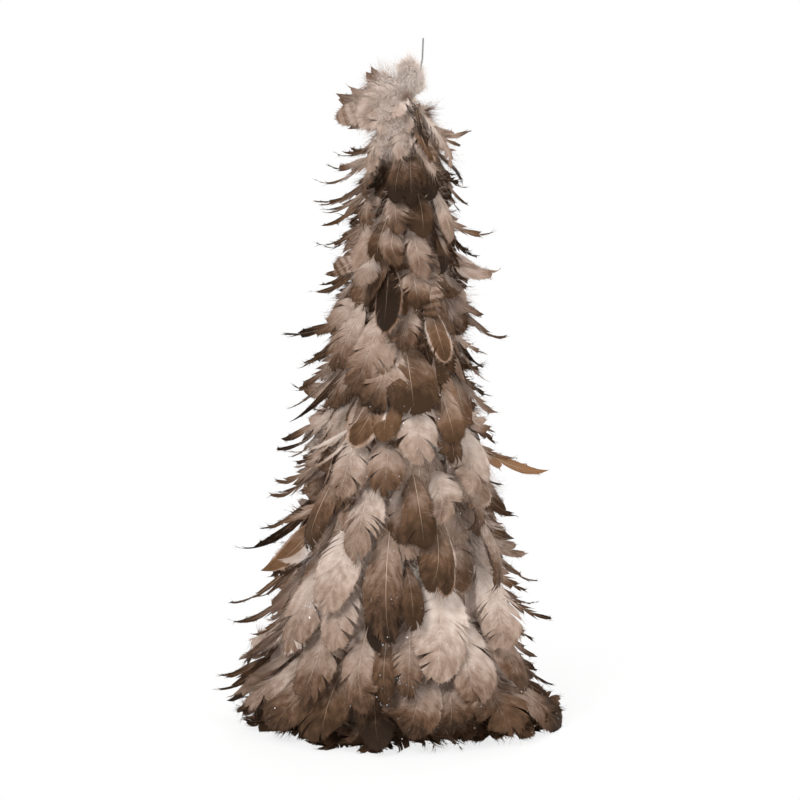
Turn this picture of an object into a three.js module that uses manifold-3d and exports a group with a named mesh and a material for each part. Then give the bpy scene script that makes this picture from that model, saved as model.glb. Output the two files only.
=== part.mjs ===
// Feather Christmas tree: a foam cone on a card foot, dressed with tiers of feather trim, with single
// long hackle feathers between the tiers, a crown of plumes and a wire that stands out of the tip.
// Millimetres and degrees, +Z up, origin at the middle of the card's underside, front towards -Y.
import * as THREE from "three";
import { mergeVertices } from "three/addons/utils/BufferGeometryUtils.js";
import Module from "manifold-3d";

const wasm = await Module();
wasm.setup();

// Driving sizes.
const glueGap = 0.3; // what is left between two pieces that are glued face to face
const card = { thickness: 3, inset: 1, sides: 40 };
const foam = { height: 450, footRadius: 75, tipRadius: 5, footRound: 3, sides: 18, rings: 5 };
const axisLean = 9; // how far the tip stands to the right of the foot's middle
const tape = { width: 7, thickness: 0.9, quillShare: 0.9 };
const wire = {
  radius: 0.6,
  buriedLength: 60,
  shownLength: 46.7,
  stemHeight: 2,
  bendHeight: 22,
  bendWidth: 6.5,
  sides: 8,
  steps: 14,
};
const vane = { ridge: 0.9, keel: 0.5, rootShare: 0.25, thickenShare: 0.3 }; // the shaft's rise on both faces

// Tiers of trim: the first and last tape's place, and the feathers at the tip and at the foot.
const tiers = { count: 14, firstDrop: 4.4, lastHeight: 58.7, pitchGrowthShare: 0.37 };
const tierFeather = {
  lengthAtTip: 54,
  lengthAtFoot: 71,
  widthAtTip: 25,
  widthAtFoot: 44,
  startAngle: 17,
  endAngle: 33,
  layerAngle: 2.2,
  layerLift: 0.1,
  ease: 1.5,
};
const flare = { fromShare: 0.6, startAngle: 4, endAngle: 40, ease: 1.4 }; // what the lowest tiers add
const skirt = { tapeHeight: 15.7, length: 47, width: 36, bendAngle: 17, floorGap: 6.5 };
const coverage = 1; // how often the feathers of a tier would go round it side by side
const jitter = { azimuthShare: 0.2, lengthShare: 0.1, widthShare: 0.1, angle: 1.6, sweep: 4 };
const shaftSteps = 40;

// What is drawn at random, each kind apart from the others, with more sets of a kind than there are tiers.
const draws = ["azimuth", "bend", "width", "length", "sweep", "hackle", "plume", "petal"];
const drawSetCount = 20;

// Single hackle feathers, glued on the foam half way between two tapes. Their tips flick outwards.
const hackle = { width: 11, flickShare: 0.76, cupRadius: 16, ochreEvery: 4 };

// The crown: a bead of glue on the tip, plumes that leave it sideways and a tuft of down on top.
const bead = { radius: 4.4, height: 4, sides: 10, rings: 3 };
const plume = { length: 60, width: 24, cupRadius: 20, sweep: 8 };
const tuft = {
  petals: 10,
  length: 33,
  width: 15,
  collarRadius: 3.2,
  collarHeight: 2.4,
  wireAngle: 84,
  cupRadius: 8,
  innerAngle: 152,
  outerAngle: 126,
  innerTurn: 34,
  outerTurn: 62,
};

// Outlines of a vane: the share of the length, then the shares of the half width on the left and right.
const widestShare = 0.68;
const bodyShares = [
  [0, 0.04, 0.04],
  [0.12, 0.1, 0.1],
  [0.36, 0.82, 0.84],
  [widestShare, 1, 0.98],
  [0.92, 0.62, 0.6],
  [1, 0, 0],
];
const splitLeftShares = [
  [0, 0.04, 0.04],
  [0.12, 0.1, 0.1],
  [0.36, 0.82, 0.84],
  [0.6, 0.97, 1],
  [0.66, 0.52, 0.98],
  [0.74, 0.98, 0.95],
  [0.93, 0.54, 0.58],
  [1, 0, 0],
];
const splitRightShares = splitLeftShares.map(([along, left, right]) => [along, right, left]);
const tierVanes = [bodyShares, splitLeftShares, bodyShares, splitRightShares, bodyShares];
const hackleShares = [
  [0, 0.14, 0.14],
  [0.2, 0.34, 0.34],
  [0.46, 1, 0.94],
  [0.64, 0.9, 0.94],
  [0.78, 0.66, 0.68],
  [0.9, 0.36, 0.4],
  [1, 0, 0],
];
const plumeShares = [
  [0, 0.05, 0.05],
  [0.08, 0.1, 0.1],
  [0.24, 0.66, 0.7],
  [0.42, 0.94, 0.98],
  [0.49, 0.56, 1],
  [0.6, 1, 0.96],
  [0.76, 0.88, 0.5],
  [0.84, 0.72, 0.74],
  [0.95, 0.36, 0.3],
  [1, 0, 0],
];
const petalShares = [
  [0, 0.12, 0.12],
  [0.3, 0.72, 0.66],
  [0.62, 1, 0.94],
  [0.86, 0.62, 0.72],
  [1, 0, 0],
];

// Hackles as shown: the tier above, the azimuth (0 right, 180 left, 270 front), the share of the hackle's
// length and the angle at which its tip points, where 90 is straight out and more is upwards.
const hacklePlaceShares = [
  [1, 352, 1.35, 94],
  [1, 176, 1.25, 100],
  [2, 62, 1.25, 98],
  [2, 188, 1.3, 96],
  [3, 5, 1.3, 92],
  [3, 168, 1.25, 104],
  [4, 350, 1.25, 100],
  [4, 184, 1.35, 98],
  [5, 8, 1.25, 106],
  [5, 118, 1.3, 96],
  [6, 177, 1.2, 92],
  [6, 356, 1.15, 94],
  [7, 192, 1.2, 88],
  [7, 74, 1.25, 98],
  [8, 173, 1.2, 84],
  [8, 12, 1.12, 82],
  [9, 358, 1.4, 96],
  [9, 186, 1.3, 94],
  [10, 170, 1.15, 104],
  [10, 96, 1.25, 98],
  [11, 182, 1.25, 92],
  [11, 4, 1.2, 86],
  [12, 189, 1.12, 98],
  [12, 354, 1.15, 92],
  [13, 9, 1.12, 88],
  [13, 130, 1.15, 96],
  [13, 174, 1.15, 98],
];

// Crown plumes: the height on the bead, the azimuth, the share of the plume's length, and the angles from
// straight down at which it leaves and ends.
const plumePlaceShares = [
  [0.7, 180, 0.95, 112, 80],
  [0.25, 202, 0.95, 94, 54],
  [0.75, 232, 0.85, 122, 52],
  [0.25, 262, 0.75, 84, 18],
  [0.6, 302, 0.7, 96, 16],
  [0.2, 340, 0.78, 68, 54],
  [0.6, 24, 0.6, 92, 34],
  [0.3, 66, 0.66, 80, 20],
  [0.7, 104, 0.8, 116, 62],
  [0.3, 144, 0.85, 90, 46],
];

const frontAzimuth = 270;
const radians = THREE.MathUtils.degToRad;
const mix = THREE.MathUtils.lerp;
const foamFoot = card.thickness + glueGap;
const foamTop = foamFoot + foam.height;
const slope = Math.atan2(foam.footRadius - foam.tipRadius, foam.height);
const slopeAngle = THREE.MathUtils.radToDeg(slope);

// The foam's radius at a height, and its axis there: how far it has leant, and at what tilt.
const foamRadius = (z) => mix(foam.footRadius, foam.tipRadius, (z - foamFoot) / foam.height);
const leanAt = (z) => axisLean * (z / foamTop) ** 2;
const tiltAt = (z) => Math.atan((2 * axisLean * z) / foamTop ** 2);

// The distance from the axis of what sits at a lift above the foam: its faces are flat, so between two
// of its edges they lie nearer to the axis than its radius. One edge runs up the front.
function seatRadius(height, azimuth, lift) {
  const half = Math.PI / foam.sides;
  const turn = THREE.MathUtils.euclideanModulo(radians(azimuth - frontAzimuth), 2 * half) - half;
  return ((foamRadius(height) + lift) * Math.cos(half)) / Math.cos(turn);
}

// A number from -1 to 1 that looks random and is the same each time for one kind of draw, set and place.
function scatter(draw, set, place = 0) {
  const seed = drawSetCount * draws.indexOf(draw) + set;
  const wave = Math.sin(seed * 127.1 + place * 311.7 + 1) * 43758.5453;
  return 2 * (wave - Math.floor(wave)) - 1;
}

// A closed three.js geometry as a solid that can be joined and cut, and back.
function solidOf(geometry) {
  const bare = geometry.clone();
  bare.deleteAttribute("normal");
  bare.deleteAttribute("uv");
  const merged = mergeVertices(bare);
  return new wasm.Manifold(
    new wasm.Mesh({
      numProp: 3,
      vertProperties: merged.attributes.position.array,
      triVerts: new Uint32Array(merged.index.array),
    }),
  );
}

function geometryOf(solid) {
  const { vertProperties, triVerts } = solid.getMesh();
  const geometry = new THREE.BufferGeometry();
  geometry.setAttribute("position", new THREE.BufferAttribute(vertProperties, 3));
  geometry.setIndex(new THREE.BufferAttribute(triVerts, 1));
  const shown = geometry.toNonIndexed();
  shown.computeVertexNormals();
  return shown;
}

const joined = (geometries) => geometryOf(geometries.map(solidOf).reduce((all, next) => all.add(next)));

// A closed loft through loops of points that ends in a single point.
function loft(loops, tip) {
  const points = loops.flat().concat(tip);
  const around = loops[0].length;
  const faces = [];
  for (let i = 2; i < around; i++) faces.push(0, i, i - 1);
  for (let ring = 0; ring < loops.length - 1; ring++) {
    for (let i = 0; i < around; i++) {
      const a = ring * around + i;
      const b = ring * around + ((i + 1) % around);
      faces.push(a, b, b + around, a, b + around, a + around);
    }
  }
  const last = (loops.length - 1) * around;
  for (let i = 0; i < around; i++) faces.push(last + i, last + ((i + 1) % around), points.length - 1);
  const geometry = new THREE.BufferGeometry().setFromPoints(points);
  geometry.setIndex(faces);
  return geometry.toNonIndexed();
}

// The line of a feather's shaft in the upright plane through the tree's axis. Over a full length it turns
// from startAngle to endAngle, both from straight down, and where a tipAngle is given, its last part turns
// on to that. The result gives the radius, the height and the angle at a share of the line.
function shaft({ rootRadius, rootHeight, startAngle, endAngle, ease, length, lengthShare = 1, tipAngle }) {
  const line = [{ radius: rootRadius, height: rootHeight, angle: radians(startAngle) }];
  const step = (length * lengthShare) / shaftSteps;
  for (let i = 1; i <= shaftSteps; i++) {
    const share = (lengthShare * i) / shaftSteps;
    const bent = mix(startAngle, endAngle, share ** ease);
    const flick = THREE.MathUtils.smoothstep(share, hackle.flickShare, lengthShare);
    const angle = radians(tipAngle === undefined ? bent : mix(bent, tipAngle, flick));
    const middle = (angle + line[i - 1].angle) / 2;
    line.push({
      radius: line[i - 1].radius + Math.sin(middle) * step,
      height: line[i - 1].height - Math.cos(middle) * step,
      angle,
    });
  }
  return (share) => {
    const first = Math.min(Math.floor(share * shaftSteps), shaftSteps - 1);
    const [a, b] = [line[first], line[first + 1]];
    const part = share * shaftSteps - first;
    return {
      radius: mix(a.radius, b.radius, part),
      height: mix(a.height, b.height, part),
      angle: mix(a.angle, b.angle, part),
    };
  };
}

// A feather with its root at an azimuth of the axis frame. Its vane is cupped round cupRadius, or else it
// follows the roundness of the tree, which fades as the vane turns outwards. It takes at most roomAngle of
// a turn, and its tip drifts sideways by sweep.
function feather({ shares, width, azimuth, sweep = 0, cupRadius = 0, roomAngle = 360, ...line }) {
  const at = shaft(line);
  const out = new THREE.Vector3(Math.cos(radians(azimuth)), Math.sin(radians(azimuth)), 0);
  const side = new THREE.Vector3(-out.y, out.x, 0);
  const up = new THREE.Vector3(0, 0, 1);
  const place = (share, across, lift) => {
    const { radius, height, angle } = at(share);
    const face = out.clone().multiplyScalar(Math.cos(angle)).addScaledVector(up, Math.sin(angle));
    const round = Math.max(radius, cupRadius, width / 2);
    const turn = across / round;
    const cup = round * (1 - Math.cos(turn)) * (cupRadius ? 1 : Math.cos(angle));
    return new THREE.Vector3()
      .addScaledVector(out, radius)
      .addScaledVector(up, height)
      .addScaledVector(side, round * Math.sin(turn) + sweep * share ** 2)
      .addScaledVector(face, lift - cup);
  };
  const loops = shares.slice(0, -1).map(([along, left, right]) => {
    const half = Math.min(width, at(along).radius * radians(roomAngle)) / 2;
    const thin = Math.min(1, vane.rootShare + along / vane.thickenShare);
    return [
      place(along, left * half, 0),
      place(along, 0, vane.ridge * thin),
      place(along, -right * half, 0),
      place(along, 0, -vane.keel * thin),
    ];
  });
  return loft(loops, place(1, 0, 0));
}

// A tape round the foam at height zero of its own frame, at a height of the tree.
function tapeRing(height) {
  const half = (tape.width / 2) * Math.cos(slope);
  const inner = (z) => foamRadius(height + z) + glueGap / Math.cos(slope);
  const outer = (z) => inner(z) + tape.thickness / Math.cos(slope);
  const profile = [
    new THREE.Vector2(inner(-half), -half),
    new THREE.Vector2(outer(-half), -half),
    new THREE.Vector2(outer(half), half),
    new THREE.Vector2(inner(half), half),
    new THREE.Vector2(inner(-half), -half),
  ];
  return new THREE.LatheGeometry(profile, foam.sides).rotateX(Math.PI / 2);
}

// How the feathers of a tier hang: tip to foot is 0 to 1, and the lowest tiers flare.
function tierLine(share) {
  const flared = Math.max(0, (share - flare.fromShare) / (1 - flare.fromShare));
  return {
    length: mix(tierFeather.lengthAtTip, tierFeather.lengthAtFoot, share),
    startAngle: slopeAngle + tierFeather.startAngle + flare.startAngle * flared,
    endAngle: slopeAngle + tierFeather.endAngle + flare.endAngle * flared ** flare.ease,
    ease: tierFeather.ease,
  };
}

// One tier of trim: a tape with feathers sewn on in two layers that take turns round it.
function tierGeometry(tier, height, width, { length, startAngle, endAngle, ease }) {
  const quill = (tape.quillShare * tape.width) / 2;
  const rootRadius = foamRadius(height) + glueGap;
  const widest = shaft({ rootRadius, rootHeight: 0, length, startAngle, endAngle, ease })(widestShare);
  const count = 2 * Math.round((coverage * Math.PI * widest.radius) / width);
  const turn = 180 * scatter("azimuth", tier);
  const pieces = [tapeRing(height)];
  for (let i = 0; i < count; i++) {
    const layer = i % 2 ? 1 : -1;
    const lift = layer * tierFeather.layerLift;
    const azimuth = (360 / count) * (i + jitter.azimuthShare * scatter("azimuth", tier, i)) + turn;
    const bend = jitter.angle * scatter("bend", tier, i);
    const mixed = tierVanes[(2 * i + tier) % tierVanes.length];
    pieces.push(
      feather({
        shares: tier ? mixed : petalShares,
        azimuth,
        width: width * (1 + jitter.widthShare * scatter("width", tier, i)),
        length,
        lengthShare: 1 + jitter.lengthShare * scatter("length", tier, i),
        roomAngle: (720 / count) * (1 - jitter.azimuthShare),
        sweep: jitter.sweep * scatter("sweep", tier, i),
        rootRadius: seatRadius(height - quill, azimuth, glueGap + tape.thickness / 2 + lift),
        rootHeight: -quill,
        startAngle: startAngle + layer * tierFeather.layerAngle,
        endAngle: endAngle + layer * tierFeather.layerAngle + bend,
        ease,
      }),
    );
  }
  return joined(pieces);
}

const materials = {
  card: new THREE.MeshStandardMaterial({ color: 0x8a7a68, roughness: 0.9, metalness: 0 }),
  foam: new THREE.MeshStandardMaterial({ color: 0xe9e6df, roughness: 0.85, metalness: 0 }),
  wire: new THREE.MeshStandardMaterial({ color: 0x9a9a98, roughness: 0.35, metalness: 0.9 }),
  glue: new THREE.MeshStandardMaterial({ color: 0xd8cdb8, roughness: 0.4, metalness: 0 }),
  taupe: new THREE.MeshStandardMaterial({ color: 0x86705f, roughness: 0.75, metalness: 0 }),
  dark: new THREE.MeshStandardMaterial({ color: 0x46352a, roughness: 0.7, metalness: 0 }),
  pale: new THREE.MeshStandardMaterial({ color: 0xb8a698, roughness: 0.8, metalness: 0 }),
  ochre: new THREE.MeshStandardMaterial({ color: 0x9c6a3a, roughness: 0.65, metalness: 0 }),
};

const tree = new THREE.Group();

// A group on the tree's leaning axis at a height, tilted as the axis is there.
function axisFrame(height) {
  const frame = new THREE.Group();
  frame.position.set(leanAt(height), 0, height);
  frame.rotation.y = tiltAt(height);
  tree.add(frame);
  return frame;
}

function addMesh(parent, name, geometry, material) {
  const mesh = new THREE.Mesh(geometry, material);
  mesh.name = name;
  parent.add(mesh);
  return mesh;
}

// The foot: a round card that the foam is glued on.
const cardRadius = foam.footRadius - card.inset;
const footCard = new THREE.CylinderGeometry(cardRadius, cardRadius, card.thickness, card.sides);
const cardMesh = addMesh(tree, "foot_card", footCard, materials.card);
cardMesh.rotation.x = Math.PI / 2;
cardMesh.position.z = card.thickness / 2;

// The wire's line, in the frame of the foam's top: straight past the tuft's collar, then bent to the right
// and straight again.
const collarFoot = glueGap + bead.height + glueGap;
const collarTop = collarFoot + tuft.collarHeight;
const bendStart = collarTop + wire.stemHeight;
const bendEnd = bendStart + wire.bendHeight;
const wireLine = new THREE.CurvePath();
const wireFoot = new THREE.Vector3(0, 0, -wire.buriedLength);
const wireTip = new THREE.Vector3(wire.bendWidth, 0, wire.shownLength);
wireLine.add(new THREE.LineCurve3(wireFoot, new THREE.Vector3(0, 0, bendStart)));
wireLine.add(
  new THREE.CubicBezierCurve3(
    new THREE.Vector3(0, 0, bendStart),
    new THREE.Vector3(0, 0, bendStart + wire.bendHeight / 2),
    new THREE.Vector3(wire.bendWidth, 0, bendEnd - wire.bendHeight / 2),
    new THREE.Vector3(wire.bendWidth, 0, bendEnd),
  ),
);
wireLine.add(new THREE.LineCurve3(new THREE.Vector3(wire.bendWidth, 0, bendEnd), wireTip));

// A round rod along a line.
function rod(line, radius, steps) {
  const round = new THREE.Shape();
  for (let i = 0; i < wire.sides; i++) {
    const turn = (2 * Math.PI * i) / wire.sides;
    const point = [radius * Math.cos(turn), radius * Math.sin(turn)];
    if (i) round.lineTo(...point);
    else round.moveTo(...point);
  }
  return new THREE.ExtrudeGeometry(round, { extrudePath: line, steps, bevelEnabled: false });
}

// A hole for the wire's straight end, from below it to past the place where the wire leaves.
function wireHole(depth, above) {
  const radius = wire.radius + glueGap;
  const hole = new THREE.CylinderGeometry(radius, radius, depth + above, wire.sides);
  hole.rotateX(Math.PI / 2);
  hole.translate(0, 0, (above - depth) / 2);
  return hole;
}

// The foam: a cone with a rounded foot whose rings follow the leaning axis, bored for the wire.
function foamGeometry() {
  const profile = [new THREE.Vector2(0, foamFoot)];
  profile.push(new THREE.Vector2(foam.footRadius - foam.footRound, foamFoot));
  for (let i = 0; i <= foam.rings; i++) {
    const z = mix(foamFoot + foam.footRound, foamTop, i / foam.rings);
    profile.push(new THREE.Vector2(foamRadius(z), z));
  }
  profile.push(new THREE.Vector2(0, foamTop));
  const cone = new THREE.LatheGeometry(profile, foam.sides).rotateX(Math.PI / 2);
  const places = cone.attributes.position;
  for (let i = 0; i < places.count; i++) places.setX(i, places.getX(i) + leanAt(places.getZ(i)));
  const hole = wireHole(wire.buriedLength + glueGap, foam.tipRadius);
  hole.rotateY(tiltAt(foamTop)).translate(leanAt(foamTop), 0, foamTop);
  return geometryOf(solidOf(cone).subtract(solidOf(hole)));
}
addMesh(tree, "foam_cone", foamGeometry(), materials.foam);

// Tiers of trim, from the tip down to the foot.
const tierMesh = [];
const span = foam.height - tiers.firstDrop - (tiers.lastHeight - foamFoot);
for (let tier = 0; tier < tiers.count; tier++) {
  const share = tier / (tiers.count - 1);
  const grown = share * (1 - tiers.pitchGrowthShare / 2 + (tiers.pitchGrowthShare / 2) * share);
  const height = foamTop - tiers.firstDrop - span * grown;
  const width = mix(tierFeather.widthAtTip, tierFeather.widthAtFoot, share);
  const geometry = tierGeometry(tier, height, width, tierLine(share));
  const name = "feather_tier_" + String(tier + 1).padStart(2, "0");
  addMesh(axisFrame(height), name, geometry, materials.taupe);
  tierMesh.push({ height });
}

// The skirt: the lowest tape, whose dark feathers spread just above the table.
const skirtHeight = foamFoot + skirt.tapeHeight;
const skirtFall = skirtHeight - skirt.floorGap;
const bendShare = Math.sin(radians(skirt.bendAngle)) / radians(skirt.bendAngle);
const skirtAngle = THREE.MathUtils.radToDeg(Math.acos(skirtFall / (skirt.length * bendShare)));
const skirtGeometry = tierGeometry(tiers.count, skirtHeight, skirt.width, {
  length: skirt.length,
  startAngle: skirtAngle - skirt.bendAngle,
  endAngle: skirtAngle + skirt.bendAngle,
  ease: 1,
});
addMesh(axisFrame(skirtHeight), "feather_skirt", skirtGeometry, materials.dark);

// Hackles, each on the foam between the tapes of the tier above it and the next one.
hacklePlaceShares.forEach(([tier, azimuth, lengthShare, tipAngle], i) => {
  const below = tier < tiers.count ? tierMesh[tier].height : skirtHeight;
  const height = (tierMesh[tier - 1].height + below) / 2;
  const geometry = feather({
    ...tierLine(tier / tiers.count),
    shares: hackleShares,
    azimuth,
    width: hackle.width,
    lengthShare,
    tipAngle,
    sweep: jitter.sweep * scatter("hackle", 0, i),
    cupRadius: hackle.cupRadius,
    rootRadius: seatRadius(height, azimuth, glueGap + vane.keel),
    rootHeight: 0,
  });
  const material = i % hackle.ochreEvery === 0 ? materials.ochre : materials.dark;
  addMesh(axisFrame(height), "hackle_" + String(i + 1).padStart(2, "0"), geometry, material);
});

// The crown, all of it in the frame of the foam's top.
const crown = axisFrame(foamTop);
addMesh(crown, "tip_wire", rod(wireLine, wire.radius, wire.steps), materials.wire);

// The glue bead: a low dome on the tip, with the wire through it.
const dome = [new THREE.Vector2(0, glueGap)];
for (let i = 0; i <= bead.rings; i++) {
  const turn = ((Math.PI / 2) * i) / bead.rings;
  dome.push(new THREE.Vector2(bead.radius * Math.cos(turn), glueGap + bead.height * Math.sin(turn)));
}
const beadGeometry = new THREE.LatheGeometry(dome, bead.sides).rotateX(Math.PI / 2);
const beadHole = wireHole(glueGap, collarFoot + glueGap);
addMesh(crown, "glue_bead", geometryOf(solidOf(beadGeometry).subtract(solidOf(beadHole))), materials.glue);

// Plumes that leave the bead sideways, each at its own height and azimuth.
plumePlaceShares.forEach(([rise, azimuth, lengthShare, startAngle, endAngle], i) => {
  const geometry = feather({
    shares: plumeShares,
    azimuth,
    width: plume.width,
    length: plume.length * lengthShare,
    sweep: plume.sweep * scatter("plume", 0, i),
    cupRadius: plume.cupRadius,
    rootRadius: bead.radius * Math.sqrt(1 - rise ** 2) + glueGap,
    rootHeight: glueGap + bead.height * rise,
    startAngle,
    endAngle,
    ease: 1,
  });
  addMesh(crown, "crown_plume_" + String(i + 1).padStart(2, "0"), geometry, materials.pale);
});

// The tuft: petals of down on a collar over the bead, left open on the side where the wire bends away.
function tuftGeometry() {
  const holeRadius = wire.radius + glueGap;
  const profile = [
    new THREE.Vector2(holeRadius, collarFoot),
    new THREE.Vector2(tuft.collarRadius, collarFoot),
    new THREE.Vector2(tuft.collarRadius, collarTop),
    new THREE.Vector2(holeRadius, collarTop),
    new THREE.Vector2(holeRadius, collarFoot),
  ];
  const pieces = [new THREE.LatheGeometry(profile, bead.sides).rotateX(Math.PI / 2)];
  for (let i = 0; i < tuft.petals; i++) {
    const round = (i + 0.5) / tuft.petals;
    pieces.push(
      feather({
        shares: petalShares,
        azimuth: tuft.wireAngle / 2 + (360 - tuft.wireAngle) * round,
        width: tuft.width,
        length: tuft.length * (1 + jitter.lengthShare * scatter("petal", 0, i)),
        cupRadius: tuft.cupRadius,
        roomAngle: (2 * (360 - tuft.wireAngle)) / tuft.petals,
        rootRadius: (holeRadius + tuft.collarRadius) / 2,
        rootHeight: (collarFoot + collarTop) / 2,
        startAngle: i % 2 ? tuft.innerAngle : tuft.outerAngle,
        endAngle: i % 2 ? tuft.innerAngle + tuft.innerTurn : tuft.outerAngle + tuft.outerTurn,
        ease: 1,
      }),
    );
  }
  return joined(pieces);
}
addMesh(crown, "crown_tuft", tuftGeometry(), materials.pale);

export default tree;
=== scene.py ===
"""Feather Christmas tree: the looks of a table tree of feather trim on a foam cone.

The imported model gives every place. Each tape with its feathers, each single hackle, each plume and the
tuft is a mesh of real vanes: barbs that part into locks, a tapered shaft and down at the root.
"""
import math

import bpy
import numpy as np
from bpy.props import FloatProperty, FloatVectorProperty, PointerProperty
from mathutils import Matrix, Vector


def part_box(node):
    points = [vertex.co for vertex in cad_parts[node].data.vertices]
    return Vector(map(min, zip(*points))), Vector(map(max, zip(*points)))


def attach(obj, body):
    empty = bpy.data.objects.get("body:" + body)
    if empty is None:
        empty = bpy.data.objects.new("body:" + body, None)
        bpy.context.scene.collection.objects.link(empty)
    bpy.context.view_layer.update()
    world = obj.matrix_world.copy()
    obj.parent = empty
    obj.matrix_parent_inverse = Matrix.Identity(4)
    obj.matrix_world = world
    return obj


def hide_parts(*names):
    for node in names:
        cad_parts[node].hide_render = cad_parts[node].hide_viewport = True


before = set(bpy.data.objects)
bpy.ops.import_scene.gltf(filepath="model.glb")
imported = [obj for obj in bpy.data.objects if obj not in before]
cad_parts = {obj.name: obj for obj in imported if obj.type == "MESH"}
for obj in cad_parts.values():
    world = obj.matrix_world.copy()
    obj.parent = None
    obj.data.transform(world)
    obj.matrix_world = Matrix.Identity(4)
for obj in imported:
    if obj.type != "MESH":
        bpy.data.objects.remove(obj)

bl_info = {
    "name": "Feather Christmas Tree",
    "version": (1, 0, 0),
    "blender": (4, 5, 0),
    "location": "View3D > Sidebar > Feather Tree",
    "description": "Dresses the frame of a feather table tree with feathers, down, wire and glitter",
    "category": "Add Mesh",
}

BODY = "root"
MM = 0.001
TURN = 2 * math.pi
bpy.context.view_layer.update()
UP = np.array([0.0, 0.0, 1.0])
TO_FRONT = np.array([0.0, -1.0, 0.0])

TIER_COUNT = 14
HACKLE_COUNT = 27
PLUME_COUNT = 10

# Steps along a barb, a shaft, a barb of down, a loose hair and the path of a feather.
BARB_STEPS = 5
SHAFT_STEPS = 12
DOWN_STEPS = 4
HAIR_STEPS = 3
PATH_STEPS = 24

# The margin round each cell of the bake map, in shares of the cell.
CELL_MARGIN = 0.02

# The tape of a tier, in millimetres: its width, and how far its middle is below the top of its node.
TAPE_WIDTH = 7.0
TAPE_DROP = 3.6

# The seed of each group of pieces, to which the number of the piece or of its row in a table is added. One
# that a placed feather hides in part takes its tier times ROW_SEED and its number in the tier.
SKIRT_SEED = 77
TIER_SEED = 100
FRONT_SEED = 300
SIDE_SEED = 400
HACKLE_SEED = 500
PLUME_SEED = 700
TUFT_SEED = 900
ROW_SEED = 1000
GLITTER_SEED = 1200

# The camera: its distance from the place it looks at and that place, in millimetres, how far it looks down,
# what a pixel spans there and the pixel in the middle of the picture.
VIEW_DISTANCE = 4000.0
TARGET_X = 0.7
TARGET_HEIGHT = 236.3
VIEW_RISE = math.radians(10)
PIXEL = 0.7248
CENTRE = 400.0


def node_box(name):
    """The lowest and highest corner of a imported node, in millimetres."""
    low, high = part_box(name)
    return np.array(low) / MM, np.array(high) / MM


FOAM_LOW, FOAM_HIGH = node_box("foam_cone")
BEAD_LOW, BEAD_HIGH = node_box("glue_bead")
FOAM_FOOT = FOAM_LOW[2]
FOAM_TOP = FOAM_HIGH[2]
FOOT_RADIUS = (FOAM_HIGH[1] - FOAM_LOW[1]) / 2
TIP_RADIUS = 5.0
LEAN = (BEAD_LOW[0] + BEAD_HIGH[0]) / 2
SLOPE = math.atan2(FOOT_RADIUS - TIP_RADIUS, FOAM_TOP - FOAM_FOOT)


def axis_x(z):
    """How far the leaning axis stands to the right at a height."""
    return LEAN * (z / FOAM_TOP) ** 2


def foam_radius(z):
    """The radius of the foam at a height."""
    return FOOT_RADIUS + (TIP_RADIUS - FOOT_RADIUS) * (z - FOAM_FOOT) / (FOAM_TOP - FOAM_FOOT)


def outwards(turn):
    """The level direction at an angle in radians."""
    return np.array([math.cos(turn), math.sin(turn), 0.0])


def sideways(out):
    """The level direction a quarter turn to the left of another."""
    return np.array([-out[1], out[0], 0.0])


def unit(vectors, spare=0.0):
    """Each row of vectors at a length of 1; what is spare keeps a row of no length finite."""
    return vectors / (np.linalg.norm(vectors, axis=1, keepdims=True) + spare)


def surface_frame(azimuth):
    """Down the foam, sideways and away from it, at an azimuth in degrees."""
    out = outwards(math.radians(azimuth))
    down = math.sin(SLOPE) * out - math.cos(SLOPE) * UP
    away = math.cos(SLOPE) * out + math.sin(SLOPE) * UP
    return down, sideways(out), away


def surface_point(azimuth, z, lift):
    """A place on the foam, lifted off it."""
    turn = math.radians(azimuth)
    radius = foam_radius(z) + lift
    return np.array([axis_x(z) + radius * math.cos(turn), radius * math.sin(turn), z])


def to_picture(x, y, z):
    """The column and row at which places show, and the scale there in pixels a millimetre."""
    up = y * math.sin(VIEW_RISE) + (z - TARGET_HEIGHT) * math.cos(VIEW_RISE)
    near = VIEW_DISTANCE + y * math.cos(VIEW_RISE) - (z - TARGET_HEIGHT) * math.sin(VIEW_RISE)
    scale = VIEW_DISTANCE / near / PIXEL
    return CENTRE + (x - TARGET_X) * scale, CENTRE - up * scale, scale


def picture_place(column, row, depth):
    """The place that shows at a column and row and lies at a depth behind the axis."""
    across, up = (column - CENTRE) * PIXEL, (CENTRE - row) * PIXEL
    rise_sin, rise_cos = math.sin(VIEW_RISE), math.cos(VIEW_RISE)
    high = ((up * (VIEW_DISTANCE + depth * rise_cos) - VIEW_DISTANCE * depth * rise_sin)
            / (VIEW_DISTANCE * rise_cos + up * rise_sin))
    near = VIEW_DISTANCE + depth * rise_cos - high * rise_sin
    return np.array([TARGET_X + across * near / VIEW_DISTANCE, depth, TARGET_HEIGHT + high])


def from_picture(column, row, lift):
    """The place at the front that shows at a column and row and stands off the foam by a lift."""
    depth = 0.0
    for _ in range(8):
        x, _, z = picture_place(column, row, depth)
        depth = -math.sqrt(max((foam_radius(z) + lift) ** 2 - (x - axis_x(z)) ** 2, 0.0))
    return picture_place(column, row, depth)


def smooth(low, high, value):
    """A smooth step from 0 to 1."""
    t = np.clip((value - low) / (high - low), 0, 1)
    return t * t * (3 - 2 * t)


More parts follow.
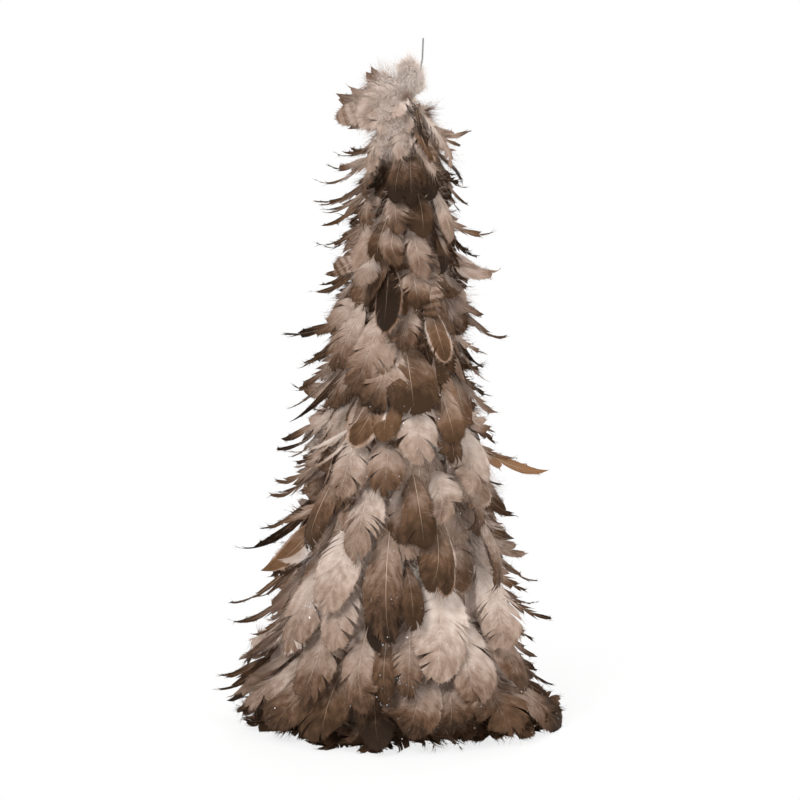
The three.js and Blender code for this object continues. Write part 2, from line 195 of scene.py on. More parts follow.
# How each kind of feather grows: where it is widest, how round its end is, where the vane starts, how
# often it splits, how far a split opens, how far a lock draws together, how its locks lift, its camber,
# the number of down barbs, how far up they grow, their length, and the hairs at the vane's edge.
KINDS = {
    "body": dict(widest=0.62, fall=2.3, vane_from=0.14, splits=2.0, gap=0.9, pull=0.0, ruffle=0.45,
                 camber=0.2, down=56, down_to=0.5, down_length=17.0, hairs=100, hair_length=4.4),
    "soft": dict(widest=0.58, fall=2.0, vane_from=0.12, splits=4.5, gap=1.3, pull=0.16, ruffle=0.9,
                 camber=0.14, down=150, down_to=0.85, down_length=17.0, hairs=230, hair_length=8.0),
    "lance": dict(widest=0.45, fall=1.5, vane_from=0.14, splits=2.6, gap=1.2, pull=0.12, ruffle=0.5,
                  camber=0.2, down=56, down_to=0.5, down_length=17.0, hairs=80, hair_length=4.2),
    "ragged": dict(widest=0.55, fall=1.8, vane_from=0.2, splits=7.0, gap=1.7, pull=0.3, ruffle=1.0,
                   camber=0.14, down=80, down_to=0.66, down_length=19.0, hairs=110, hair_length=5.4),
    "hackle": dict(widest=0.4, fall=1.4, vane_from=0.12, splits=2.2, gap=0.8, pull=0.3, ruffle=0.4,
                   camber=0.3, down=24, down_to=0.35, down_length=10.0, hairs=44, hair_length=3.0),
    "sickle": dict(widest=0.45, fall=1.2, vane_from=0.25, splits=1.5, gap=1.0, pull=0.35, ruffle=0.5,
                   camber=0.25, down=16, down_to=0.5, down_length=9.0, hairs=50, hair_length=4.0),
    "fluff": dict(down=320, down_to=0.92, down_length=24.0, hairs=0),
}

# How high a vane waves and how far its fringe of barb ends stands out, in millimetres.
VANE_WAVE = 0.5
FRINGE = 2.0

# The part of a feather that a point belongs to, as the last value of its mark says it.
ON_VANE = 0.0
ON_DOWN = 0.5
ON_SHAFT = 1.0

# The width of a barb of down in a feather, of one that is loose, and of a hair at a vane's edge.
DOWN_WIDTH = 0.2
FLUFF_WIDTH = 0.22
HAIR_WIDTH = 0.26


def hang(azimuth, z, lift, length, start, end, ease=1.5, sweep=0.0, bow=0.0, flick=0.0):
    """The path of a shaft that leaves the foam at start degrees and ends at end degrees from it."""
    down, side, away = surface_frame(azimuth)
    s = np.linspace(0, 1, PATH_STEPS + 1)
    rise = np.radians(start + (end - start) * s ** ease + flick * smooth(0.5, 1.0, s))
    turn = np.radians(sweep + bow * s)
    steps = np.stack([np.cos(rise) * np.cos(turn), np.cos(rise) * np.sin(turn), np.sin(rise)], 1)
    middle = (steps[1:] + steps[:-1]) / 2 * length / PATH_STEPS
    local = np.vstack([np.zeros(3), np.cumsum(middle, 0)])
    path = surface_point(azimuth, z, lift) + local @ np.array([down, side, away])
    across = np.stack([-np.sin(turn), np.cos(turn), np.zeros_like(turn)], 1) @ np.array([down, side, away])
    return path, across


def curve_path(a, b, c, d, across):
    """A shaft's path as one cubic curve, with an even side direction."""
    s = np.linspace(0, 1, PATH_STEPS + 1)[:, None]
    path = (1 - s) ** 3 * a + 3 * s * (1 - s) ** 2 * b + 3 * s * s * (1 - s) * c + s ** 3 * d
    return path, np.tile(across, (PATH_STEPS + 1, 1))


class Plumage:
    """Gathers vanes, shafts and down, and turns them into one mesh."""

    def __init__(self):
        self.points, self.faces, self.plume, self.mark, self.barbs, self.cells = [], [], [], [], [], []
        self.owner = []
        self.size = 0
        self.feathers = 0

    def add(self, points, faces, plume, mark, barbs, cells):
        """Adds one sheet of points, with its faces and its values for each point."""
        self.faces.append(faces + self.size)
        self.size += len(points)
        self.points.append(points)
        self.plume.append(plume)
        self.mark.append(mark)
        self.barbs.append(barbs)
        self.cells.append(cells)
        self.owner.append(np.full(len(points), self.feathers))

    def rest_on_table(self):
        """Lays what would reach below the table on it, in twelve levels so that sheets don't coincide."""
        for number, sheet in enumerate(self.points):
            sheet[:, 2] = np.maximum(sheet[:, 2], 0.3 + 0.03 * (number % 12))

    def mesh(self, name):
        """The gathered sheets as a smooth mesh, with one cell of the bake map for each feather."""
        points = np.concatenate(self.points) * MM
        faces = np.concatenate(self.faces).astype(np.int32)
        mesh = bpy.data.meshes.new(name)
        mesh.vertices.add(len(points))
        mesh.vertices.foreach_set("co", points.astype(np.float32).ravel())
        mesh.loops.add(faces.size)
        mesh.loops.foreach_set("vertex_index", faces.ravel())
        mesh.polygons.add(len(faces))
        mesh.polygons.foreach_set("loop_start", np.arange(0, faces.size, 3, dtype=np.int32))
        owner = np.concatenate(self.owner)
        grid = math.ceil(math.sqrt(self.feathers))
        cells = np.concatenate(self.cells) * (1 - 2 * CELL_MARGIN) + CELL_MARGIN
        cells = (np.stack([owner % grid, owner // grid], 1) + cells) / grid
        for layer, values in (("barbs", np.concatenate(self.barbs)), ("OFBake", cells)):
            corners = values[faces.ravel()].astype(np.float32)
            mesh.uv_layers.new(name=layer).data.foreach_set("uv", corners.ravel())
        for layer, values in (("plume", self.plume), ("mark", self.mark)):
            attribute = mesh.attributes.new(layer, "FLOAT_COLOR", "POINT")
            attribute.data.foreach_set("color", np.concatenate(values).astype(np.float32).ravel())
        mesh.update(calc_edges=True)
        mesh.shade_smooth()
        return mesh


def outline(look):
    """Dense points of a vane's edge: along and across, in shares of the length and the half width."""
    u = np.linspace(look["vane_from"], 1, 180)
    rise = np.sin(math.pi / 2 * np.clip(u / look["widest"], 0, 1)) ** 1.1
    v = np.clip((u - look["widest"]) / (1 - look["widest"]), 0, 1)
    fall = np.maximum(0, 1 - v ** look["fall"]) ** (1 / min(look["fall"], 2.0))
    return u, rise * fall


def vane_side(rng, look, sign):
    """One half of a vane in the feather's own space, and its faces and values."""
    length, width, count = look["length"], look["width"], look["barbs"]

    # Where each barb starts on the shaft and ends at the edge.
    u, half = outline(look)
    lopsided = 1 + sign * look["lopsided"]
    edge = np.stack([u * length, half * width / 2 * lopsided], 1)
    arc = np.concatenate([[0], np.cumsum(np.hypot(*np.diff(edge, axis=0).T))])
    along = np.linspace(0, arc[-1], count + 1)
    tips = np.stack([np.interp(along, arc, edge[:, i]) for i in (0, 1)], 1)
    k = np.arange(count + 1) / count
    first = look["vane_from"] * 0.55
    roots = np.stack([length * (first + (0.95 - first) * k ** 1.2), np.zeros(count + 1)], 1)

    # The locks: runs of barbs that cling to one another, with a split between each and the next.
    cuts = np.flatnonzero(rng.random(count - 2) < look["splits"] / count) + 1
    starts = np.concatenate([[0], cuts])
    ends = np.concatenate([cuts, [count]])
    rows = np.concatenate([np.arange(a, b + 1) for a, b in zip(starts, ends)])
    lock = np.repeat(np.arange(len(starts)), ends - starts + 1)
    locks = len(starts)
    lift = rng.normal(0, look["ruffle"], locks)
    grow = 1 + rng.normal(0, 0.035, locks)
    depth = rng.uniform(0.1, 0.55, locks)
    gap = look["gap"] * rng.uniform(0.4, 1.4, locks + 1)
    gap[0] = 0
    gap[-1] = 0

    # The barbs: bent towards the tip, drawn together and lifted lock by lock.
    tangent = unit(np.gradient(tips, axis=0), 1e-9)
    serration = 1 + rng.normal(0, 0.018, count + 1)
    target = roots + (tips - roots) * serration[:, None]
    q = np.linspace(0, 1, BARB_STEPS + 1)
    root, tip = roots[rows][:, None], target[rows][:, None]
    bend = root + (tip - root) * np.array([0.42, 0.66])
    t = q[None, :, None]
    barb = (1 - t) ** 2 * root + 2 * t * (1 - t) * bend + t * t * tip
    barb = root + (barb - root) * (1 + (grow[lock] - 1)[:, None, None] * t)
    opened = np.clip((q[None] - depth[lock][:, None]) / (1 - depth[lock][:, None]), 0, 1) ** 1.3
    away = (gap[lock] * np.exp(-(rows - starts[lock]) / 3) - gap[lock + 1] * np.exp(-(ends[lock] - rows) / 3))
    barb = barb + (away[:, None] * opened)[..., None] * tangent[rows][:, None]
    centre = target[(starts + ends) // 2][lock][:, None]
    barb = barb + (look["pull"] * opened)[..., None] * (centre - tip) * 0.8
    y = barb[..., 1]
    z = (lift[lock][:, None] * opened ** 1.4
         - look["camber"] * (y / (width / 2)) ** 2 * width / 2
         + VANE_WAVE * np.sin(barb[..., 0] / length * 9 + look["phase"]) * (y / (width / 2)) ** 2)
    body = np.stack([barb[..., 0], sign * y, z], -1)

    # The faces between the barbs of a lock, and a fringe of barb ends.
    columns = BARB_STEPS + 1
    same = np.flatnonzero(lock[1:] == lock[:-1])
    a = (same[:, None] * columns + np.arange(BARB_STEPS)).ravel()
    quads = np.stack([a, a + columns, a + columns + 1, a, a + columns + 1, a + 1], 1).reshape(-1, 3)
    outer = body[:, -1]
    ahead = unit(outer - body[:, -2], 1e-9)
    spike = FRINGE * rng.uniform(0.3, 1.5, len(same))
    teeth = (outer[same] + outer[same + 1]) / 2 + ahead[same] * spike[:, None]
    teeth[:, 2] += rng.normal(0, 0.25, len(same))
    base = len(rows) * columns
    edge_at = same * columns + BARB_STEPS
    fringe = np.stack([edge_at, edge_at + columns, base + np.arange(len(same))], 1)
    faces = np.concatenate([quads, fringe])
    if sign < 0:
        faces = faces[:, ::-1]

    # The values of each point: how far out it is, its place on the barbs and its place in the bake map.
    points = np.concatenate([body.reshape(-1, 3), teeth])
    reach = np.concatenate([np.tile(q, len(rows)), np.ones(len(same))])
    rank = np.concatenate([np.repeat(rows, columns), rows[same] + 0.5])
    span = np.hypot(*(tips - roots).T)
    barb_length = np.interp(rank, np.arange(count + 1), span)
    barbs = np.stack([rank / count * arc[-1] * 0.1, reach * barb_length * 0.1], 1)
    inner = np.concatenate([np.tile(q * 0.9, len(rows)), np.ones(len(same))])
    column = 0.38 - 0.36 * inner if sign < 0 else 0.40 + 0.36 * inner
    vane = points, faces, reach, barbs, np.stack([column, rank / count], 1)
    return vane, edge_hairs(rng, look, outer, ahead, rows / count * arc[-1])


def shaft_tube(look):
    """The shaft: a tapered three-sided tube on the vane, closed at both ends."""
    length = look["length"]
    s = np.linspace(0, 1, SHAFT_STEPS + 1)
    radius = look["shaft"] * (0.14 + 0.86 * (1 - s) ** 0.9)
    x = s * length * 0.97
    corners = np.array([[0.95, -0.35], [0.0, 0.9], [-0.95, -0.35]])
    points = np.stack([
        np.repeat(x, 3),
        (radius[:, None] * corners[:, 0]).ravel(),
        (radius[:, None] * corners[:, 1]).ravel(),
    ], 1)
    faces = []
    for i in range(SHAFT_STEPS):
        for j in range(3):
            a, b = i * 3 + j, i * 3 + (j + 1) % 3
            faces += [[a, b + 3, b], [a, a + 3, b + 3]]
    last = SHAFT_STEPS * 3
    faces += [[0, 1, 2], [last + 2, last + 1, last]]
    column = np.tile([0.78, 0.80, 0.82], SHAFT_STEPS + 1)
    cells = np.stack([column, np.repeat(s, 3)], 1)
    barbs = np.stack([np.repeat(s, 3) * length * 0.1, np.tile([0.0, 0.02, 0.04], SHAFT_STEPS + 1)], 1)
    return points, np.array(faces), np.zeros(len(points)), barbs, cells


def ribbons(rng, roots, aims, lengths, width, curl, steps=DOWN_STEPS):
    """Single barbs of down: narrow strips that bend and curl, with their faces and shares of their length."""
    count = len(roots)
    q = np.linspace(0, 1, steps + 1)[None, :, None]
    aims = unit(aims)
    first = unit(np.cross(aims, rng.normal(0, 1, (count, 3))), 1e-9)
    second = np.cross(aims, first)
    reach = lengths[:, None, None]
    bend = rng.uniform(0.1, 0.55, (count, 1, 1)) * curl
    waves = rng.uniform(0.6, 1.6, (count, 1, 1))
    phase = rng.uniform(0, TURN, (count, 1, 1))
    swing = 0.1 * curl * (np.sin(TURN * waves * q + phase) - np.sin(phase)) * q ** 0.6
    line = roots[:, None] + reach * (q * aims[:, None] * (1 - 0.25 * bend * q)
                                     + bend * q ** 2 * first[:, None] + swing * second[:, None])
    half = (second * width / 2)[:, None] * (1 - 0.75 * q)
    points = np.stack([line - half, line + half], 2).reshape(-1, 3)
    a = (np.arange(count)[:, None] * (steps + 1) * 2 + np.arange(steps) * 2).ravel()
    faces = np.stack([a, a + 1, a + 3, a, a + 3, a + 2], 1).reshape(-1, 3)
    share = np.repeat(np.tile(q.ravel(), count), 2)
    rank = np.repeat(np.arange(count), (steps + 1) * 2)
    side = np.tile([0.0, 1.0], count * (steps + 1))
    return points, faces, share, rank, side


def down_barbs(rng, look):
    """The down along a feather's shaft, in the feather's own space."""
    count = look["down"]
    share = look["down_to"] * rng.uniform(0.03, 1.0, count) ** 0.9
    sign = rng.choice([-1.0, 1.0], count)
    angle = np.radians(rng.uniform(8, 72, count) * (1 - 0.45 * share))
    roots = np.stack([look["length"] * share, sign * 0.2, np.zeros(count)], 1)
    aims = np.stack([np.cos(angle), sign * np.sin(angle), rng.normal(0.04, 0.24, count)], 1)
    swell = 0.45 + 0.55 * np.sin(math.pi * share ** 0.8)
    lengths = look["down_length"] * rng.uniform(0.55, 1.15, count) * swell
    points, faces, reach, rank, side = ribbons(rng, roots, aims, lengths, DOWN_WIDTH, 0.9)
    cells = np.stack([0.89 + 0.1 * reach, (rank + 0.15 + 0.7 * side) / count], 1)
    return points, faces, reach * 0.5, np.stack([rank * 0.07, reach], 1), cells


def edge_hairs(rng, look, outer, ahead, along):
    """Loose barb ends that stand past the edge of a vane."""
    count = look["hairs"] // 2
    pick = rng.integers(0, len(outer), count)
    aims = ahead[pick] + rng.normal(0, 0.22, (count, 3))
    lengths = look["hair_length"] * rng.uniform(0.3, 1.3, count)
    points, faces, reach, rank, side = ribbons(rng, outer[pick] - ahead[pick] * 0.6, aims, lengths,
                                               HAIR_WIDTH, 0.5, HAIR_STEPS)
    cells = np.stack([0.83 + 0.05 * reach, (rank + 0.15 + 0.7 * side) / count], 1)
    return points, faces, np.ones(len(points)), np.stack([along[pick][rank] * 0.1, reach], 1), cells


def place(points, look, path, across):
    """Bends points from the feather's own space along its path."""
    length = look["length"]
    steps = np.diff(path, axis=0)
    arc = np.concatenate([[0], np.cumsum(np.linalg.norm(steps, axis=1))])
    ahead = unit(np.gradient(path, axis=0))
    side = unit(across - (across * ahead).sum(1, keepdims=True) * ahead)
    face = np.cross(ahead, side)
    roll = np.radians(look["roll"] + look["twist"] * np.linspace(0, 1, len(path)))[:, None]
    side, face = side * np.cos(roll) + face * np.sin(roll), face * np.cos(roll) - side * np.sin(roll)
    at = points[:, 0] / length * arc[-1]
    over = np.clip(at - arc[-1], 0, None)

    def along(values):
        return np.stack([np.interp(at, arc, values[:, i]) for i in range(3)], 1)

    place_at = along(path) + over[:, None] * ahead[-1]
    return place_at + along(side) * points[:, 1:2] + along(face) * points[:, 2:3]


def add_feather(plumage, rng, kind, path, across, **changes):
    """Grows one feather of a kind along a path."""
    length = float(np.linalg.norm(np.diff(path, axis=0), axis=1).sum())
    look = dict(KINDS[kind], length=length, width=30.0, barbs=44, shaft=0.5, tone=0.5, warmth=0.0, tip=0.2,
                rim=0.0, bars=0.0, roll=0.0, twist=0.0, lopsided=0.0, phase=rng.uniform(0, TURN))
    look.update(changes)
    look["width"] = min(look["width"], 0.62 * length)
    shift = rng.uniform(0, 50, 2)
    sheets = []
    for sign in (-1, 1) if kind != "fluff" else ():
        sheets += [(ON_VANE, *sheet) for sheet in vane_side(rng, look, sign)]
    sheets += [(ON_SHAFT, *shaft_tube(look)), (ON_DOWN, *down_barbs(rng, look))]
    for part, points, faces, reach, barbs, cells in sheets:
        along = np.clip(points[:, 0] / look["length"], 0, 1)
        flat = np.ones(len(points))
        plume = np.stack([along, reach, flat * look["tone"], flat * look["warmth"]], 1)
        mark = np.stack([flat * look["tip"], flat * look["rim"], flat * look["bars"], flat * part], 1)
        plumage.add(place(points, look, path, across), faces, plume, mark, barbs + shift, cells)
    plumage.feathers += 1


def add_fluff(plumage, rng, roots, aims, lengths, tone, width=FLUFF_WIDTH, curl=1.2):
    """Loose down that grows from given places."""
    points, faces, share, rank, side = ribbons(rng, roots, aims, lengths, width, curl)
    count = len(roots)
    flat = np.ones(len(points))
    plume = np.stack([flat * 0.1, share * 0.5, flat * tone, flat * 0], 1)
    mark = flat[:, None] * [0, 0, 0, ON_DOWN]
    columns = math.ceil(math.sqrt(count / 8))
    lines = math.ceil(count / columns)
    cells = np.stack([(rank % columns + 0.05 + 0.9 * share) / columns,
                      (rank // columns + 0.15 + 0.7 * side) / lines], 1)
    plumage.add(points, faces, plume, mark, np.stack([rank * 0.07, share], 1), cells)
    plumage.feathers += 1


def add_tape(plumage, z):
    """The tape that a tier's feathers are sewn on: a thin closed band round the foam."""
    around = 72
    turn = np.linspace(0, TURN, around + 1)
    rows = []
    for height, out in ((-0.5, 0.3), (-0.5, 1.2), (0.5, 1.2), (0.5, 0.3), (-0.5, 0.3)):
        level = z + height * TAPE_WIDTH
        radius = foam_radius(level) + out
        rows.append(np.stack([axis_x(level) + radius * np.cos(turn), radius * np.sin(turn),
                              np.full(around + 1, level)], 1))
    points = np.concatenate(rows)
    n = around + 1
    a = (np.arange(4)[:, None] * n + np.arange(around)).ravel()
    faces = np.stack([a, a + n + 1, a + n, a, a + 1, a + n + 1], 1).reshape(-1, 3)
    plume = np.tile([0.1, 0.0, 0.2, 0.1], (len(points), 1))
    mark = np.zeros((len(points), 4))
    share = np.tile(turn / TURN, 5)
    level = np.repeat(np.arange(5) / 4, n)
    plumage.add(points, faces, plume, mark, np.stack([share * 40, level], 1), np.stack([share, level], 1))
    plumage.feathers += 1


# Materials

# The colours that a feather runs through, and those of golden vanes and of shafts.
COLOUR_NAMES = ("Dark", "Brown", "Taupe", "Pale", "Cream", "Warm", "Shaft")


def add_node(tree, kind, place_at, **sockets):
    """Adds a node and sets the sockets that are given by name."""
    node = tree.nodes.new(kind)
    node.location = place_at
    for name, value in sockets.items():
        node.inputs[name.replace("_", " ")].default_value = value
    return node


def add_math(tree, operation, place_at, first, second=None, clamp=False):
    """A math node whose inputs are sockets or numbers."""
    node = add_node(tree, "ShaderNodeMath", place_at)
    node.operation = operation
    node.use_clamp = clamp
    for slot, value in enumerate((first, second)):
        if value is None:
            continue
        if isinstance(value, bpy.types.NodeSocket):
            tree.links.new(value, node.inputs[slot])
        else:
            node.inputs[slot].default_value = value
    return node.outputs[0]


def add_range(tree, place_at, value, low, high, to_low, to_high, smooth_step=True):
    """A map range node from one span to another."""
    node = add_node(tree, "ShaderNodeMapRange", place_at)
    node.interpolation_type = "SMOOTHSTEP" if smooth_step else "LINEAR"
    tree.links.new(value, node.inputs["Value"])
    for name, number in (("From Min", low), ("From Max", high), ("To Min", to_low), ("To Max", to_high)):
        node.inputs[name].default_value = number
    return node.outputs["Result"]


def add_mix(tree, place_at, factor, first, second):
    """A colour mix of two sockets."""
    node = add_node(tree, "ShaderNodeMix", place_at)
    node.data_type = "RGBA"
    tree.links.new(factor, node.inputs["Factor"])
    tree.links.new(first, node.inputs[6])
    tree.links.new(second, node.inputs[7])
    return node.outputs[2]


def add_bump(tree, shader, place_at, height, strength, distance):
    """Bumps the surface of a shader by a height."""
    node = add_node(tree, "ShaderNodeBump", place_at, Strength=strength, Distance=distance)
    tree.links.new(height, node.inputs["Height"])
    tree.links.new(node.outputs["Normal"], shader.inputs["Normal"])


def feather_group():
    """The pattern of a feather: a run of colours from the down to the tip, streaks along the barbs, a rim and
    bars, a pale shaft, and down made paler partly by painted light shining through it."""
    tree = bpy.data.node_groups.new("feather pattern", "ShaderNodeTree")
    for name in COLOUR_NAMES:
        tree.interface.new_socket(name, in_out="INPUT", socket_type="NodeSocketColor")
    tree.interface.new_socket("Colour", in_out="OUTPUT", socket_type="NodeSocketColor")
    tree.interface.new_socket("Roughness", in_out="OUTPUT", socket_type="NodeSocketFloat")
    tree.interface.new_socket("Height", in_out="OUTPUT", socket_type="NodeSocketFloat")
    inputs = add_node(tree, "NodeGroupInput", (-600, 500))
    outputs = add_node(tree, "NodeGroupOutput", (1600, 0))
    links = tree.links

    # What each point of the mesh says: where it is on its feather and how the feather looks.
    plume = add_node(tree, "ShaderNodeAttribute", (-1400, 300))
    plume.attribute_name = "plume"
    mark = add_node(tree, "ShaderNodeAttribute", (-1400, -200))
    mark.attribute_name = "mark"
    parts = add_node(tree, "ShaderNodeSeparateColor", (-1200, 300))
    links.new(plume.outputs["Color"], parts.inputs[0])
    marks = add_node(tree, "ShaderNodeSeparateColor", (-1200, -200))
    links.new(mark.outputs["Color"], marks.inputs[0])
    along, edge, tone = parts.outputs
    warmth, part = plume.outputs["Alpha"], mark.outputs["Alpha"]
    tip, rim, bars = marks.outputs

    # Fine streaks along the barbs and broad clouds over several of them.
    barbs = add_node(tree, "ShaderNodeUVMap", (-1400, -500))
    barbs.uv_map = "barbs"
    stretch = add_node(tree, "ShaderNodeMapping", (-1200, -500), Scale=(34.0, 2.2, 1.0))
    links.new(barbs.outputs[0], stretch.inputs[0])
    streak = add_node(tree, "ShaderNodeTexNoise", (-1000, -500), Scale=1.0, Detail=3.0, Roughness=0.6)
    links.new(stretch.outputs[0], streak.inputs["Vector"])
    broad = add_node(tree, "ShaderNodeTexNoise", (-1000, -750), Scale=1.3, Detail=2.0)
    links.new(barbs.outputs[0], broad.inputs["Vector"])

    # What makes a place paler or darker: the base, the tip, the rim, bars, streaks, clouds and down. The down
    # is made paler partly for its own pale colour and partly as painted light shining through it.
    base = add_range(tree, (-900, 500), along, 0.3, 0.82, 0.26, 0.0)
    end = add_range(tree, (-900, 300), along, 0.6, 1.0, 0.0, 1.0)
    end = add_math(tree, "MULTIPLY", (-700, 300), end, tip)
    border = add_range(tree, (-900, 100), edge, 0.72, 0.98, 0.0, 0.45)
    border = add_math(tree, "MULTIPLY", (-700, 100), border, rim)
    wave = add_math(tree, "SINE", (-700, -50), add_math(tree, "MULTIPLY", (-900, -50), along, 52.0))
    wave = add_range(tree, (-600, -120), wave, -0.3, 0.5, 0.0, 0.3)
    wave = add_math(tree, "MULTIPLY", (-500, -50), wave, bars)
    fine = add_range(tree, (-800, -500), streak.outputs[0], 0.3, 0.7, -0.11, 0.11, False)
    cloud = add_range(tree, (-800, -750), broad.outputs[0], 0.3, 0.7, -0.1, 0.1, False)
    # Down and shafts are made paler. This is partly their own pale colour and partly painted light that
    # stands in for light shining through the thin barbs.
    fluff = add_range(tree, (-800, -950), part, 0.2, 0.45, 0.0, 0.14, False)

    level = tone
    changes = (("ADD", base), ("SUBTRACT", end), ("ADD", border), ("SUBTRACT", wave), ("ADD", fine),
               ("ADD", cloud), ("ADD", fluff))
    for number, (operation, change) in enumerate(changes):
        level = add_math(tree, operation, (-500 + 150 * number, 400), level, change)

    # The colour at that level, the golden brown of some feathers and the pale shaft.
    colour = inputs.outputs["Dark"]
    for step, (name, low, high) in enumerate((("Brown", 0.05, 0.3), ("Taupe", 0.3, 0.55),
                                              ("Pale", 0.55, 0.8), ("Cream", 0.8, 1.05))):
        share = add_range(tree, (550, 300 - 200 * step), level, low, high, 0.0, 1.0, False)
        colour = add_mix(tree, (750 + 150 * step, 200), share, colour, inputs.outputs[name])
    colour = add_mix(tree, (1250, 200), warmth, colour, inputs.outputs["Warm"])
    is_shaft = add_range(tree, (1100, -200), part, 0.75, 0.9, 0.0, 1.0, False)
    fade = add_range(tree, (1100, -400), along, 0.35, 1.0, 0.75, 0.12)
    is_shaft = add_math(tree, "MULTIPLY", (1250, -300), is_shaft, fade)
    colour = add_mix(tree, (1400, 200), is_shaft, colour, inputs.outputs["Shaft"])
    rough = add_range(tree, (1250, -550), level, 0.1, 0.8, 0.62, 0.88, False)
    links.new(colour, outputs.inputs["Colour"])
    links.new(rough, outputs.inputs["Roughness"])
    links.new(streak.outputs[0], outputs.inputs["Height"])
    return tree


def surface_material(name, roughness=0.7, metallic=0.0, specular=0.5):
    """A material with only its principled shader, and that shader."""
    material = bpy.data.materials.new(name)
    material.use_nodes = True
    shader = material.node_tree.nodes["Principled BSDF"]
    shader.inputs["Roughness"].default_value = roughness
    shader.inputs["Metallic"].default_value = metallic
    shader.inputs["Specular IOR Level"].default_value = specular
    return material, shader


def feather_material(name, settings):
    """A feather material with the colours of the settings."""
    if name in bpy.data.materials:
        return bpy.data.materials[name]
    material, shader = surface_material(name, specular=0.06)
    tree = material.node_tree
    group = add_node(tree, "ShaderNodeGroup", (-500, 100))
    group.node_tree = bpy.data.node_groups.get("feather pattern") or feather_group()
    for socket in COLOUR_NAMES:
        group.inputs[socket].default_value = (*getattr(settings, socket.lower()), 1.0)
    tree.links.new(group.outputs["Colour"], shader.inputs["Base Color"])
    tree.links.new(group.outputs["Roughness"], shader.inputs["Roughness"])
    add_bump(tree, shader, (-250, -150), group.outputs["Height"], 0.35, 0.0004)
    return material


def grained_material(name, colour, dark, scale, roughness, metallic=0.0):
    """A material for card, foam, glue, wire or glitter: two shades of a grain, which also roughens it."""
    material, shader = surface_material(name, roughness=roughness, metallic=metallic)
    tree = material.node_tree
    where = add_node(tree, "ShaderNodeTexCoord", (-900, 0))
    grain = add_node(tree, "ShaderNodeTexNoise", (-700, 0), Scale=scale, Detail=4.0, Roughness=0.6)
    tree.links.new(where.outputs["Object"], grain.inputs["Vector"])
    ramp = add_node(tree, "ShaderNodeValToRGB", (-450, 100))
    for element, position, shade in zip(ramp.color_ramp.elements, (0.35, 0.65), (dark, colour)):
        element.position = position
        element.color = (*shade, 1.0)
    tree.links.new(grain.outputs[0], ramp.inputs[0])
    tree.links.new(ramp.outputs[0], shader.inputs["Base Color"])
    smoothest, roughest = roughness - 0.08, roughness + 0.08
    rough = add_range(tree, (-450, -150), grain.outputs[0], 0.3, 0.7, smoothest, roughest, False)
    tree.links.new(rough, shader.inputs["Roughness"])
    add_bump(tree, shader, (-250, -350), grain.outputs[0], 0.5, 0.0003)
    return material


def finish_piece(mesh, material, node):
    """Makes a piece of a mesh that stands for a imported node, and lets it ride with the tree."""
    piece = bpy.data.objects.new(mesh.name, mesh)
    bpy.context.scene.collection.objects.link(piece)
    mesh.materials.append(material)
    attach(piece, BODY)
    if node:
        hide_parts(node)
    return piece


# Layout of the feathers

# How much paler or darker than the rest the trim of each tier is, from the tip down.
TIER_TONES = (0.0, -0.08, -0.05, -0.05, -0.03, -0.08, -0.08, 0.05, 0.1, 0.1, 0.11, 0.09, 0.05, -0.10)

# The tone of the tiers' feathers before it is changed, and how many pixels a tip lies below its spot.
BASE_TONE = 0.46
TIP_BELOW_SPOT = 12

# Where the feathers at the front are paler or darker: the column, the row, the spread in pixels and how much.
TONE_SPOTS = (
    (385, 160, 22, 0.20), (410, 190, 26, -0.24), (430, 250, 24, 0.12), (350, 270, 20, 0.12),
    (385, 305, 24, -0.18), (345, 360, 32, 0.06), (415, 385, 36, -0.20), (430, 455, 46, 0.24),
    (325, 520, 28, -0.18), (350, 600, 48, 0.18), (375, 470, 20, 0.14), (282, 610, 26, 0.22),
    (262, 655, 24, 0.2), (500, 650, 26, 0.16), (440, 580, 20, -0.26), (485, 590, 30, 0.14),
    (445, 655, 50, 0.24), (335, 695, 30, -0.08), (275, 685, 30, 0.06),
)

# The edges of the body of feathers: the row, and the columns of its left and right edge.
BODY_EDGES = (
    (104, 388, 421), (128, 376, 425), (150, 364, 438), (180, 356, 452), (236, 344, 450), (268, 334, 462),
    (332, 328, 468), (380, 318, 476), (412, 312, 483), (444, 302, 484), (476, 300, 480), (508, 292, 495),
    (540, 283, 503), (572, 270, 502), (604, 262, 502), (636, 252, 504), (668, 240, 511), (700, 232, 530),
    (720, 244, 560),
)

# The looks that the tables below name.
DARK = dict(tone=0.06, tip=0.1, shaft=0.22)
BROWN = dict(tone=0.17, tip=0.14, warmth=0.08)
TAUPE = dict(tone=0.38, tip=0.2)
PALE = dict(tone=0.47, tip=0.06)
CREAM = dict(tone=0.56, tip=0.08)
GOLD = dict(tone=0.22, tip=0.18, warmth=0.18, rim=1.1)
OLIVE = dict(tone=0.3, tip=0.28, warmth=0.15)
SOFT = dict(tone=0.68, tip=0.06)
EDGED = dict(tone=0.5, tip=0.42)
BRUSH = dict(tone=0.44, tip=0.2, bars=0.5)
CURL = dict(tone=0.66, tip=0.34)

